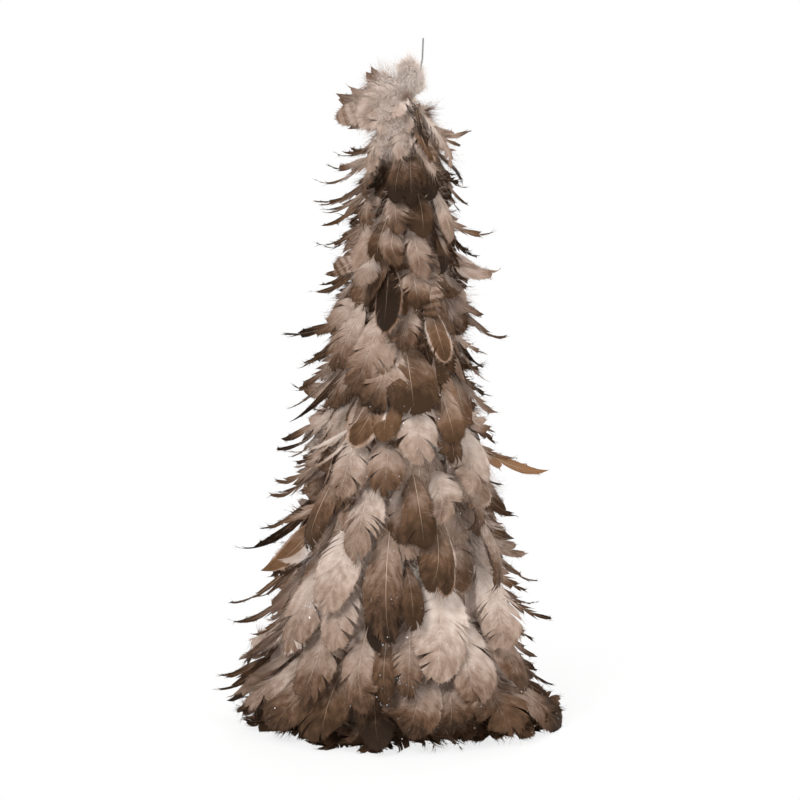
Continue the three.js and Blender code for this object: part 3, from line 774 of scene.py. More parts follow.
# The feathers that stand out at the front: the tier, the column of the root, the row from which it shows,
# the column and row of the tip, the width in millimetres, the kind and the look.
FRONT_FEATHERS = (
    (1, 392, 118, 382, 154, 17, "soft", SOFT), (1, 405, 120, 401, 160, 16, "soft", dict(SOFT, tone=0.64)),
    (1, 402, 130, 438, 172, 16, "soft", dict(SOFT, tone=0.62)), (1, 412, 140, 433, 162, 11, "ragged", GOLD),
    (1, 396, 128, 376, 174, 15, "soft", CREAM), (1, 418, 140, 450, 168, 9, "ragged", CREAM),
    (2, 406, 170, 397, 203, 15, "body", DARK), (2, 410, 168, 412, 207, 17, "soft", DARK),
    (2, 416, 168, 427, 200, 15, "body", DARK), (2, 434, 164, 462, 182, 8, "body", DARK),
    (2, 388, 160, 366, 196, 14, "soft", TAUPE), (3, 396, 200, 401, 234, 17, "soft", TAUPE),
    (3, 414, 200, 421, 237, 18, "body", dict(BROWN, tone=0.08)), (3, 428, 194, 449, 242, 13, "body", PALE),
    (3, 386, 196, 372, 226, 15, "ragged", TAUPE), (4, 388, 230, 379, 260, 17, "body", dict(BROWN, tone=0.12)),
    (4, 400, 228, 402, 261, 17, "body", TAUPE), (4, 412, 224, 425, 279, 17, "soft", dict(PALE, tone=0.4)),
    (4, 430, 236, 441, 274, 10, "body", DARK), (5, 380, 256, 362, 286, 17, "body", PALE),
    (5, 389, 276, 383, 332, 26, "body", dict(tone=-0.2, tip=0.0, rim=1.2, fall=3.0, widest=0.68, shaft=0.2)),
    (5, 412, 270, 420, 309, 22, "soft", dict(TAUPE, tip=0.4, warmth=0.1)),
    (6, 404, 310, 402, 350, 24, "soft", TAUPE), (10, 432, 470, 436, 520, 26, "soft", PALE),
    (5, 426, 296, 432, 318, 20, "ragged", BRUSH), (6, 426, 322, 446, 362, 18, "body", GOLD),
    (6, 385, 330, 350, 392, 30, "soft", TAUPE), (6, 372, 330, 336, 372, 24, "soft", TAUPE),
    (7, 404, 320, 414, 414, 46, "body", dict(BROWN, tone=0.12, tip=0.16, fall=3.0)),
    (7, 392, 350, 366, 408, 30, "soft", dict(TAUPE, tip=0.3)), (7, 366, 350, 326, 410, 24, "soft", TAUPE),
    (8, 386, 396, 350, 443, 26, "body", dict(GOLD, tone=0.25)),
    (8, 392, 400, 384, 441, 20, "body", dict(BROWN, warmth=0.25)), (8, 436, 400, 455, 443, 20, "body", OLIVE),
    (8, 412, 416, 418, 466, 30, "soft", CREAM),
    (9, 394, 450, 388, 495, 27, "soft", dict(BROWN, tone=0.4, tip=0.3)),
    (9, 441, 436, 450, 462, 18, "body", BROWN), (9, 366, 450, 340, 498, 28, "soft", PALE),
    (9, 455, 430, 464, 490, 30, "soft", CREAM), (10, 345, 482, 311, 550, 22, "body", dict(BROWN, tone=0.14)),
    (10, 372, 500, 350, 560, 32, "soft", PALE), (10, 452, 470, 472, 526, 28, "soft", TAUPE),
    (10, 412, 500, 424, 548, 24, "body", dict(BROWN, tone=0.14)), (11, 432, 556, 427, 590, 22, "body", BROWN),
    (11, 438, 560, 446, 596, 20, "body", dict(BROWN, rim=0.9)), (11, 360, 540, 326, 616, 38, "soft", CREAM),
    (11, 470, 530, 492, 588, 26, "soft", TAUPE),
    (11, 392, 505, 391, 642, 29, "body", dict(TAUPE, tone=0.2, tip=0.1, shaft=0.6)),
    (12, 405, 560, 411, 630, 15, "body", dict(BROWN, tone=0.1, shaft=0.2)),
    (12, 362, 600, 340, 650, 28, "soft", CREAM), (12, 376, 632, 379, 651, 12, "body", DARK),
    (12, 434, 600, 430, 680, 42, "soft", dict(CREAM, tone=0.6)), (12, 335, 590, 292, 652, 32, "soft", PALE),
    (12, 470, 590, 496, 650, 30, "soft", CREAM), (13, 376, 655, 371, 712, 28, "soft", TAUPE),
    (13, 392, 660, 388, 704, 16, "body", BROWN), (13, 410, 640, 407, 698, 22, "soft", TAUPE),
    (13, 452, 640, 470, 704, 36, "soft", dict(CREAM, tip=0.25)), (13, 335, 650, 300, 706, 34, "soft", TAUPE),
    (13, 305, 640, 246, 664, 26, "soft", PALE), (13, 470, 650, 520, 690, 30, "body", TAUPE),
    (14, 420, 670, 404, 733, 42, "body", dict(TAUPE, tip=0.3)),
    (14, 440, 680, 448, 731, 42, "soft", dict(TAUPE, tip=0.3)), (14, 350, 690, 325, 738, 40, "body", BROWN),
    (14, 335, 690, 272, 729, 38, "body", dict(TAUPE, tone=0.3)), (14, 315, 680, 248, 708, 34, "soft", PALE),
    (14, 376, 690, 381, 750, 26, "body", DARK), (14, 462, 680, 508, 734, 40, "soft", dict(BROWN, tone=0.28)),
    (14, 478, 672, 562, 718, 38, "body", dict(TAUPE, tip=0.32)),
)

# The narrow feathers at the sides that belong to a tier: the tier, the column and row where it bends, the
# column and row of its tip, the width in millimetres and the look.
SIDE_FEATHERS = (
    (2, 350, 176, 330, 165, 6.5, EDGED), (3, 446, 176, 459, 181, 6.5, DARK),
    (3, 352, 205, 325, 209, 3.5, TAUPE), (3, 357, 219, 341, 214, 6.0, BROWN),
    (4, 440, 205, 455, 238, 11.0, PALE), (4, 352, 232, 334, 243, 9.0, TAUPE),
    (4, 452, 248, 476, 255, 5.0, DARK), (5, 352, 258, 328, 274, 12.0, BRUSH),
    (5, 448, 270, 461, 283, 5.0, DARK), (6, 350, 308, 318, 331, 12.0, TAUPE),
    (6, 452, 300, 482, 313, 7.0, TAUPE), (7, 330, 340, 306, 362, 5.0, BROWN),
    (7, 462, 340, 483, 352, 4.5, TAUPE), (7, 326, 372, 303, 384, 10.0, TAUPE),
    (8, 465, 378, 486, 394, 6.0, DARK), (8, 470, 392, 496, 411, 9.0, PALE),
    (8, 318, 396, 296, 386, 11.0, TAUPE), (9, 466, 412, 491, 430, 10.0, TAUPE),
    (9, 330, 446, 298, 461, 12.0, BROWN), (9, 322, 462, 296, 466, 6.0, PALE),
    (10, 480, 480, 503, 484, 3.0, DARK), (10, 478, 494, 513, 514, 11.0, BROWN),
    (11, 480, 524, 513, 537, 10.0, BROWN), (11, 308, 506, 272, 525, 6.5, OLIVE),
    (11, 300, 550, 262, 569, 14.0, dict(GOLD, warmth=0.45, splits=0.4)), (11, 482, 536, 523, 553, 15.0, PALE),
    (12, 300, 560, 271, 575, 8.0, BROWN), (12, 484, 560, 522, 588, 8.0, OLIVE),
    (12, 296, 588, 257, 616, 12.0, PALE), (13, 496, 610, 530, 636, 9.0, TAUPE),
    (13, 282, 630, 240, 658, 14.0, PALE), (14, 508, 650, 536, 668, 9.0, TAUPE),
    (14, 268, 672, 232, 694, 11.0, PALE), (14, 512, 672, 545, 692, 13.0, TAUPE),
    (14, 262, 690, 236, 712, 9.0, BROWN),
)

# The strands of the hackles at the sides, in the same form without the tier.
HACKLE_STRANDS = {
    1: ((438, 178, 458, 208, 5.5, TAUPE), (444, 190, 469, 205, 4.0, EDGED),
        (448, 190, 466, 187, 2.5, TAUPE)),
    2: ((358, 161, 337, 153, 4.5, EDGED), (360, 160, 342, 151, 3.5, EDGED),
        (362, 159, 350, 147, 3.5, EDGED), (364, 159, 361, 148, 4.0, EDGED),
        (348, 190, 320, 181, 3.0, TAUPE)),
    4: ((352, 202, 317, 200, 7.0, OLIVE), (348, 203, 321, 204, 3.0, TAUPE),
        (345, 224, 320, 225, 5.0, OLIVE), (345, 220, 322, 211, 3.0, EDGED)),
    5: ((458, 238, 491, 232, 5.5, OLIVE), (448, 244, 469, 250, 4.5, BROWN)),
    6: ((345, 250, 317, 243, 3.5, TAUPE), (347, 252, 326, 246, 2.5, TAUPE),
        (346, 240, 335, 243, 8.0, TAUPE)),
    7: ((466, 280, 497, 270, 10.0, CREAM), (452, 284, 471, 286, 3.5, TAUPE),
        (455, 263, 476, 266, 4.0, PALE)),
    8: ((345, 284, 319, 284, 3.0, BROWN), (342, 292, 315, 291, 5.5, BROWN)),
    9: ((478, 342, 505, 336, 6.5, TAUPE), (468, 318, 482, 314, 4.0, TAUPE)),
    11: ((330, 326, 288, 333, 6.0, DARK), (336, 350, 311, 360, 5.5, BROWN),
         (320, 358, 300, 367, 3.0, TAUPE)),
    12: ((464, 352, 482, 367, 5.0, DARK), (470, 374, 487, 380, 4.0, PALE)),
    13: ((318, 402, 289, 421, 5.5, DARK), (310, 398, 288, 408, 3.5, TAUPE)),
    15: ((306, 436, 281, 438, 9.0, dict(TAUPE, tip=0.5)), (312, 447, 277, 448, 4.5, DARK),
         (312, 452, 289, 456, 3.0, TAUPE)),
    16: ((474, 428, 494, 440, 8.0, TAUPE), (474, 452, 492, 457, 4.0, PALE)),
    17: ((510, 470, 548, 469, 7.5, dict(tone=0.4, tip=0.1, warmth=0.85, splits=0.4)),
         (490, 452, 517, 457, 3.0, OLIVE)),
    18: ((296, 500, 271, 494, 6.5, TAUPE), (298, 498, 275, 491, 4.0, TAUPE),
         (302, 484, 277, 480, 7.0, TAUPE)),
    19: ((278, 548, 240, 547, 8.0, DARK), (290, 520, 262, 528, 4.0, BROWN)),
    21: ((262, 606, 230, 601, 4.5, BROWN), (276, 598, 256, 596, 3.0, TAUPE)),
    22: ((500, 560, 514, 570, 6.0, BROWN), (506, 575, 536, 580, 3.5, TAUPE)),
    23: ((268, 620, 234, 620, 5.0, BROWN), (276, 632, 252, 634, 4.0, TAUPE)),
    24: ((520, 612, 551, 617, 6.0, BROWN), (514, 604, 534, 602, 3.0, TAUPE)),
    25: ((515, 645, 537, 656, 6.0, TAUPE), (525, 676, 552, 684, 5.0, BROWN)),
    27: ((252, 684, 217, 689, 9.0, BROWN), (256, 676, 221, 674, 8.0, OLIVE),
         (262, 650, 244, 655, 6.0, BROWN), (256, 692, 226, 700, 8.0, DARK)),
}

# The feathers of each plume of the crown: the column and row of the tip, its depth and the width in
# millimetres, how far it arches over the bead, how far its end curls up, the kind and the look.
CROWN_STRANDS = {
    1: ((357, 98, -4, 18, 5, 6, "soft", SOFT), (333, 92, -8, 9, 0, 6, "sickle", CURL),
        (336, 98, -10, 10, -4, 10, "sickle", CURL), (346, 84, 0, 9, 0, 10, "sickle", CURL),
        (370, 64, 0, 9, -1, 11, "sickle", CURL), (365, 70, -2, 11, 0, 10, "sickle", CURL),
        (370, 82, -2, 14, 3, 6, "soft", SOFT), (380, 78, -2, 12, 5, 0, "fluff", SOFT)),
    2: ((337, 120, -16, 17, 6, 3, "body", dict(tone=0.82, tip=0.3, bars=0.5, fall=3.0)),
        (336, 113, -12, 7, 7, 4, "sickle", CURL), (356, 110, -14, 22, 8, 3, "soft", SOFT),
        (345, 129, -14, 8, 5, 8, "sickle", CURL), (354, 102, -10, 14, 3, 6, "soft", SOFT)),
    3: ((358, 124, -22, 26, 10, 1, "soft", SOFT), (374, 130, -24, 24, 8, 0, "soft", SOFT),
        (388, 120, -24, 22, 9, 0, "soft", SOFT), (372, 106, -22, 20, 10, 0, "fluff", SOFT)),
    4: ((386, 148, -24, 22, 7, 0, "soft", SOFT), (400, 146, -25, 18, 6, 0, "soft", dict(SOFT, tone=0.64)),
        (384, 150, -22, 18, 6, 0, "fluff", SOFT)),
    5: ((428, 149, -27, 7, 5, 0, "sickle", dict(DARK, widest=0.7)),
        (421, 138, -28, 6, 5, 0, "sickle", dict(DARK, widest=0.7)),
        (412, 116, -24, 6, 2, 0, "sickle", DARK), (416, 150, -27, 6, 4, 0, "sickle", BROWN)),
    6: ((472, 131, -10, 8, -13, 12, "sickle", dict(CREAM, tip=0.3)),
        (453, 134, -10, 8, -12, 8, "sickle", CREAM),
        (462, 146, -14, 7, -12, 7, "sickle", dict(PALE, tip=0.3))),
    7: ((416, 118, 8, 8, 1, 0, "soft", SOFT), (413, 112, 12, 8, 2, 0, "fluff", SOFT)),
    8: ((410, 122, 24, 14, 3, 0, "soft", SOFT), (404, 132, 22, 14, 3, 0, "soft", SOFT)),
    9: ((396, 98, 34, 24, 8, 2, "soft", SOFT), (388, 92, 32, 7, 5, 7, "sickle", EDGED),
        (392, 120, 28, 20, 8, 0, "soft", SOFT), (408, 92, 34, 7, 5, 7, "sickle", EDGED)),
    10: ((361, 104, 20, 20, 7, 5, "soft", SOFT), (345, 100, 16, 7, 4, 8, "sickle", CURL),
         (368, 84, 14, 20, 8, 3, "soft", SOFT), (374, 96, 12, 16, 10, 0, "fluff", SOFT)),
}

# The smaller lobes of down beside and below the ball on top: the column and row, the depth and the spread
# in millimetres, the number of barbs and the tone.
TUFT_LOBES = (
    (403, 67, 0, 4.0, 350, 0.66), (419, 84, 0, 5.5, 450, 0.66), (385, 79, -3, 4.5, 450, 0.7),
    (398, 88, -6, 5.0, 500, 0.66), (407, 98, -14, 3.6, 420, 0.1), (404, 94, 8, 6.0, 500, 0.66),
    (394, 104, -12, 5.0, 400, 0.64), (378, 100, -14, 7.0, 450, 0.68), (384, 114, -19, 7.0, 600, 0.62),
    (394, 128, -21, 8.0, 800, 0.6), (386, 146, -22, 8.0, 700, 0.58), (402, 144, -24, 7.0, 500, 0.6),
    (402, 120, 18, 11.0, 900, 0.66), (406, 142, 20, 10.0, 700, 0.6),
)

# The share of the outermost points on vanes that carry glitter, and from which share on it lies in heaps.
GLITTER_SHARE = 0.025
GLITTER_HEAP = 0.45

# Where glitter lies thickly at the front: column, row, spread in pixels and share.
GLITTER_SPOTS = (
    (305, 553, 8, 1.4), (388, 646, 9, 0.34), (404, 642, 9, 0.3), (297, 575, 12, 0.4), (352, 448, 10, 0.34),
    (360, 474, 16, 0.3), (390, 590, 22, 0.2), (310, 606, 8, 0.6), (403, 680, 7, 0.6), (380, 700, 22, 0.3),
)


def patch(azimuth, z):
    """A slow change of tone round and up the tree, from -1 to 1."""
    turn = math.radians(azimuth)
    return (math.sin(2 * turn + z / 31) + math.sin(3 * turn - z / 47 + 2) + math.sin(turn + z / 19 + 4)) / 3


def tier_name(tier):
    return f"feather_tier_{tier:02d}"


def hackle_name(number):
    return f"hackle_{number:02d}"


def plume_name(number):
    return f"crown_plume_{number:02d}"


def is_warm(number):
    """Whether a hackle is golden brown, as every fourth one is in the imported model."""
    return number % 4 == 1


def trim_measures(name):
    """The height of a tape, how far its feathers reach from the axis and the height of their lowest tips."""
    low, high = node_box(name)
    tape_z = high[2] - TAPE_DROP
    reach = ((high[0] - low[0]) + (high[1] - low[1])) / 4
    return tape_z, reach, low[2]


def random_tones(rng, azimuth, tier, tip):
    """Tone, tip, warmth, rim and bars of one feather of the tiers."""
    draw = rng.random()
    tone = BASE_TONE + TIER_TONES[tier - 1] + 0.1 * patch(azimuth, 30 * tier) + rng.normal(0, 0.07)
    if tip[1] < 0:
        column, row, _ = to_picture(*tip)
        for spot_column, spot_row, spread, shift in TONE_SPOTS:
            away = (column - spot_column) ** 2 + (row - TIP_BELOW_SPOT - spot_row) ** 2
            tone += shift * math.exp(-away / spread ** 2)
    # Feathers towards the left and right are made paler: painted light at the sides of the tree.
    tone += 0.07 * smooth(0.6, 0.95, abs(math.cos(math.radians(azimuth))))
    values = dict(tone=tone, tip=rng.uniform(0.05, 0.32), warmth=rng.uniform(0.0, 0.14))
    if draw < 0.24:
        values.update(tone=tone + 0.14, tip=rng.uniform(0.0, 0.15))
    elif draw < 0.38:
        values.update(tone=tone - 0.22, tip=rng.uniform(0.05, 0.2))
    elif draw < 0.46:
        values.update(tone=tone - 0.12, rim=0.4)
    elif draw < 0.48:
        values.update(bars=0.3, tone=tone + 0.05)
    elif draw < 0.53:
        values.update(warmth=0.3)
    return values


def body_edge(azimuth, z):
    """How far from the axis the body of feathers reaches at an azimuth and a height."""
    rows, left, right = np.array(BODY_EDGES).T
    column, row, scale = to_picture(axis_x(z), 0.0, z)
    to_left = (column - np.interp(row, rows, left)) / scale
    to_right = (np.interp(row, rows, right) - column) / scale
    return (to_right + to_left) / 2 + (to_right - to_left) / 2 * math.cos(math.radians(azimuth))


def keep_inside(path, azimuth, spare):
    """Draws a path back towards its root where it would stand out of the body by more than is spare."""
    out = np.hypot(path[:, 0] - axis_x(path[:, 2]), path[:, 1])
    room = body_edge(azimuth, path[:, 2]) + spare - out[0]
    far = ((out - out[0]) / np.maximum(room, 4.0)).max()
    return path if far <= 1 else path[0] + (path - path[0]) / far


def curve_across(path, roll_axis):
    """The direction across a narrow feather whose flat side faces along an axis."""
    return unit(np.cross(np.gradient(path, axis=0), roll_axis))


def sickle_path(root, bend, tip, facing):
    """The path of a narrow feather that falls from its root to a bend and sweeps up again to its tip."""
    third = (bend + tip) / 2 - UP * 0.17 * np.linalg.norm(tip - bend)
    path, _ = curve_path(root, root + (bend - root) * 0.8, third, tip, facing)
    return path, curve_across(path, facing)


def add_side_feather(plumage, rng, root, forward, row_of_table):
    """Adds a narrow feather that the picture places, which leans to the front by an angle in degrees."""
    bend_column, bend_row, column, row, width, values = row_of_table

    # The finest end of the tip hardly shows, so the path goes on past it by a share of its last part.
    column += (column - bend_column) * 0.12
    row += (row - bend_row) * 0.12
    places = []
    for at_column, at_row in ((bend_column, bend_row), (column, row)):
        reach = abs(at_column - CENTRE) * PIXEL
        places.append(picture_place(at_column, at_row, -reach * math.tan(math.radians(forward))))
    path, across = sickle_path(root, *places, TO_FRONT)
    look = dict(roll=rng.choice([-1.0, 1.0]) * rng.uniform(10, 45), twist=rng.normal(0, 26), shaft=0.35,
                splits=rng.uniform(1.5, 6.5), gap=1.3, pull=rng.uniform(0.25, 0.7))
    add_feather(plumage, rng, "sickle", path, across, width=width * 1.4, barbs=60, **dict(look, **values))


# How far off the foam the placed feathers of the front start, and those of the sides and the wisps.
FRONT_LIFT = 2.6
SIDE_LIFT = 1.6

# Where a placed feather hides another: the share of its width to either side, for feathers of any tier and
# of its own one, and the pixels above its top and below its tip.
COVER_ANY = 0.6
COVER_OWN = 0.3
COVER_ABOVE = 12
COVER_BELOW = 8


def is_covered(path, tier=None):
    """Whether a path shows where the picture places a feather, one of a certain tier if it is given."""
    margin = COVER_ANY if tier is None else COVER_OWN
    for tip in (path[-1], path[len(path) * 3 // 4]):
        if tip[1] > 0:
            return False
        column, row, _ = to_picture(*tip)
        for owner, start_column, top, end_column, end_row, width, _, _ in FRONT_FEATHERS:
            if tier not in (None, owner):
                continue
            share = np.clip((row - top) / (end_row - top), 0, 1)
            middle = end_column + (start_column - end_column) * 0.4 * (1 - share)
            aside = abs(column - middle)
            if aside < width / PIXEL * margin and top - COVER_ABOVE < row < end_row + COVER_BELOW:
                return True
    return False


def front_feathers(plumage, tier, tape_z, reach, tip_z):
    """The feathers of a tier that the picture places one by one."""
    for number, (owner, column, _, tip_column, tip_row, width, kind, values) in enumerate(FRONT_FEATHERS):
        if owner != tier:
            continue
        rng = np.random.default_rng(FRONT_SEED + number)
        aside = ((column - CENTRE) * PIXEL + TARGET_X - axis_x(tape_z)) / (foam_radius(tape_z) + FRONT_LIFT)
        root = surface_point(-math.degrees(math.acos(np.clip(aside, -1, 1))), tape_z, FRONT_LIFT)
        stand = reach - foam_radius(tip_z) + 1.5
        tip = from_picture(tip_column, tip_row, stand)
        belly = (root + tip) / 2
        out = np.array([belly[0] - axis_x(belly[2]), belly[1], 0.0])
        out /= np.linalg.norm(out)
        side = sideways(out)
        bow = rng.normal(0, 0.07) * np.linalg.norm(tip - root)
        aslant = side * ((tip - root) @ side)
        fall = tip - root - aslant
        second = root + fall * 0.42 + aslant * 0.1 + out * 5.0 + side * bow
        third = root + fall * 0.86 + aslant * 0.5 + out * 5.5 + side * bow
        path, across = curve_path(root, second, third, tip, side)
        add_feather(plumage, rng, kind, path, across, width=width, barbs=64, roll=rng.normal(0, 10),
                    twist=rng.normal(0, 20), lopsided=rng.uniform(-0.2, 0.2), **values)


def under_down(plumage, rng, tier, tape_z):
    """Short down all round below a tape, close to the foam, which hides it between the feathers."""
    count = 540 + 62 * tier
    roots, aims = [], []
    for _ in range(count):
        azimuth = rng.uniform(0, 360)
        down, side, away = surface_frame(azimuth)
        roots.append(surface_point(azimuth, tape_z - rng.uniform(-2, 37), rng.uniform(0.5, 2.5)))
        aims.append(down + side * rng.normal(0, 0.5) + away * rng.uniform(0.1, 0.6))
    add_fluff(plumage, rng, np.array(roots), np.array(aims), rng.uniform(9.0, 17.0, count),
              0.24 + TIER_TONES[tier - 1], 1.3, 0.8)


def side_feathers(plumage, tier, tape_z):
    """The narrow feathers of a tier that the picture places at the sides."""
    for number, (owner, *row_of_table) in enumerate(SIDE_FEATHERS):
        if owner != tier:
            continue
        rng = np.random.default_rng(SIDE_SEED + number)
        forward = rng.uniform(0, 16)
        azimuth = 180 + forward if row_of_table[0] < CENTRE else -forward
        root = surface_point(azimuth, tape_z, SIDE_LIFT)
        add_side_feather(plumage, rng, root, forward, row_of_table)


# The three layers of a tier's rows, from the foam outwards: which one each feather in turn belongs to, and
# how far each layer leans out, in shares of the way to the edge of the body.
LAYER_ORDER = (0, 1, 0, 2)
LAYER_LEANS = ((0.3, 0.5), (0.55, 0.85), (0.85, 1.1))

# The kinds of the feathers outside the close layer, each with the draw below which it is picked.
OUTER_KINDS = (("ragged", 0.16), ("fluff", 0.28), ("soft", 0.5), ("body", 0.7), ("lance", 1.0))


def row_path(rng, azimuth, layer, tape_z, tip_z):
    """The path of a feather of a tier's rows, which hangs from the tape towards the edge of the body."""
    far = float(body_edge(azimuth, tip_z + 4)) - foam_radius(tape_z)
    lean_out = math.degrees(math.atan2(far, tape_z - tip_z) - SLOPE)
    length = math.hypot(far, tape_z - tip_z) * rng.uniform(0.78, 1.12)
    aside = 0.35 + 0.65 * abs(math.cos(math.radians(azimuth)))
    curl = rng.uniform(8, 80) * aside if layer else rng.uniform(0, 10)
    middle = lean_out * [rng.uniform(*span) for span in LAYER_LEANS][layer]
    path, across = hang(azimuth, tape_z + rng.uniform(-2.5, 2.5), 1.2 + 0.5 * layer, length,
                        middle - 0.12 * curl, middle + 0.3 * curl, 1.5,
                        rng.normal(0, 18 if layer else 13), rng.normal(0, 26 if layer else 17), 0.7 * curl)
    return keep_inside(path, azimuth, rng.uniform(-8, 0)), across


def add_rows(plumage, rng, tier, count, width, tape_z, tip_z):
    """The rows of a tier: a layer close to the foam, darkened as painted shade, and two that stand off."""
    for i in range(count):
        layer = LAYER_ORDER[i % len(LAYER_ORDER)]
        jitter = 0.5 if layer else 0.3
        azimuth = 360 / count * (i + rng.uniform(-jitter, jitter))
        turn = math.radians(azimuth)
        path, across = row_path(rng, azimuth, layer, tape_z, tip_z)
        draw = rng.random()
        kind = next(name for name, below in OUTER_KINDS if draw < below) if layer else "body"
        tones = random_tones(rng, azimuth, tier, path[-1])
        barbs = 44 if layer else 26
        if is_covered(path, None if layer else tier):
            # The placed feather hides this one from the front only, so towards the sides it still grows.
            if math.sin(turn) > (-0.35 if layer else -0.8):
                own_rng = np.random.default_rng(ROW_SEED * tier + i)
                add_feather(plumage, own_rng, kind, path, across, width=width * (0.75 if layer else 1.1),
                            roll=own_rng.normal(0, 14), twist=own_rng.normal(0, 16), barbs=barbs, **tones)
            continue
        if layer == 0:
            broad = rng.uniform(1.0, 1.25)
            # The close layer is made darker: painted shade beneath the layers that stand off.
            tones.update(tone=tones["tone"] - 0.1)
        else:
            broad = rng.uniform(0.45, 0.75) if kind == "lance" else rng.uniform(0.6, 0.9)
        if kind == "fluff":
            tones.update(tone=max(tones["tone"], 0.36), tip=0.0)
        # Towards the sides the outer layers roll and twist more, which roughens the outline.
        slack = math.cos(turn) ** 2 if layer else 0.0
        add_feather(plumage, rng, kind, path, across, width=width * broad, roll=rng.normal(0, 9 + 28 * slack),
                    twist=rng.normal(0, 14 + 20 * slack), barbs=barbs, **tones)


# How far from the axis a wisp may reach, in millimetres.
WISP_REACH = 126.0


def add_wisps(plumage, rng, tier, count, tape_z):
    """Narrow feathers at the front and the back of a tier that stand out of its body and flick up."""
    for _ in range(count):
        azimuth = rng.uniform(0, 360)
        turn = math.radians(azimuth)
        if abs(math.cos(turn)) > 0.8:
            continue
        bend_z = tape_z - rng.uniform(14, 34)
        end_z = bend_z - rng.uniform(-4, 16)
        out = float(body_edge(azimuth, bend_z)) - 4
        far = min(float(body_edge(azimuth, end_z)) + rng.uniform(4, 28), WISP_REACH)
        bend = surface_point(azimuth, bend_z, out - foam_radius(bend_z))
        end_azimuth = azimuth + math.degrees(rng.normal(0, 9) / far)
        tip = surface_point(end_azimuth, end_z, far - foam_radius(end_z))
        root = surface_point(azimuth, tape_z, SIDE_LIFT)
        path, across = sickle_path(root, bend, tip, sideways(outwards(turn)))
        tones = random_tones(rng, azimuth, tier, tip)
        if math.sin(turn) < -0.7 and rng.random() < 0.6 or is_covered(path):
            continue
        add_feather(plumage, rng, "sickle", path, across, width=rng.uniform(3.0, 9.0), barbs=44,
                    roll=rng.normal(0, 50), twist=rng.normal(0, 40), shaft=0.35,
                    **dict(tones, tip=rng.uniform(0.2, 0.5)))


def grow_tier(tier, sizes):
    """One tape of trim: the feathers that the picture places, its rows, the down beneath them and wisps."""
    rng = np.random.default_rng(TIER_SEED + tier)
    tape_z, reach, tip_z = trim_measures(tier_name(tier))
    share = (tier - 1) / (TIER_COUNT - 1)
    width = sizes.width_at_tip / MM + (sizes.width_at_foot - sizes.width_at_tip) / MM * share
    count = round(sizes.fullness * TURN * (foam_radius(tape_z) + 10) / width)
    plumage = Plumage()
    add_tape(plumage, tape_z)
    front_feathers(plumage, tier, tape_z, reach, tip_z)
    side_feathers(plumage, tier, tape_z)
    add_rows(plumage, rng, tier, count, width, tape_z, tip_z)
    under_down(plumage, rng, tier, tape_z)
    add_wisps(plumage, rng, tier, round(count * sizes.wisps), tape_z)
    plumage.rest_on_table()
    return plumage.mesh(tier_name(tier) + "_trim")


def grow_skirt(sizes):
    """The lowest tape, whose dark feathers spread on the table. Their dark tone is partly their own colour
    and partly painted shade beneath the tree.
    """
    rng = np.random.default_rng(SKIRT_SEED)
    tape_z, reach, _ = trim_measures("feather_skirt")
    root = foam_radius(tape_z)
    width = sizes.width_at_foot / MM
    plumage = Plumage()
    add_tape(plumage, tape_z)
    count = round(sizes.fullness * 1.5 * TURN * root / width)
    for i in range(count):
        azimuth = 360 / count * (i + rng.uniform(-0.5, 0.5))
        # In the picture the row reaches a little less far at the front.
        shorter = 0.08 * max(0.0, -math.sin(math.radians(azimuth)))
        length = (reach - root) * rng.uniform(0.85, 1.15) * (1 - shorter)
        path, across = hang(azimuth, tape_z + rng.uniform(-2, 2), 1.2, length, rng.uniform(38, 58),
                            rng.uniform(68, 92), 0.9, rng.normal(0, 16), rng.normal(0, 20))
        kind = "ragged" if rng.random() < 0.6 else "lance"
        # The skirt's low dark brown tone is partly the feathers' own colour and partly painted shade beneath
        # the tree.
        add_feather(plumage, rng, kind, path, across, width=width * rng.uniform(0.35, 0.7),
                    roll=rng.normal(0, 14), twist=rng.normal(0, 18), down=20,
                    tone=0.17 + rng.normal(0, 0.08), tip=rng.uniform(0, 0.1), warmth=rng.uniform(0, 0.1))
    plumage.rest_on_table()
    return plumage.mesh("feather_skirt_trim")


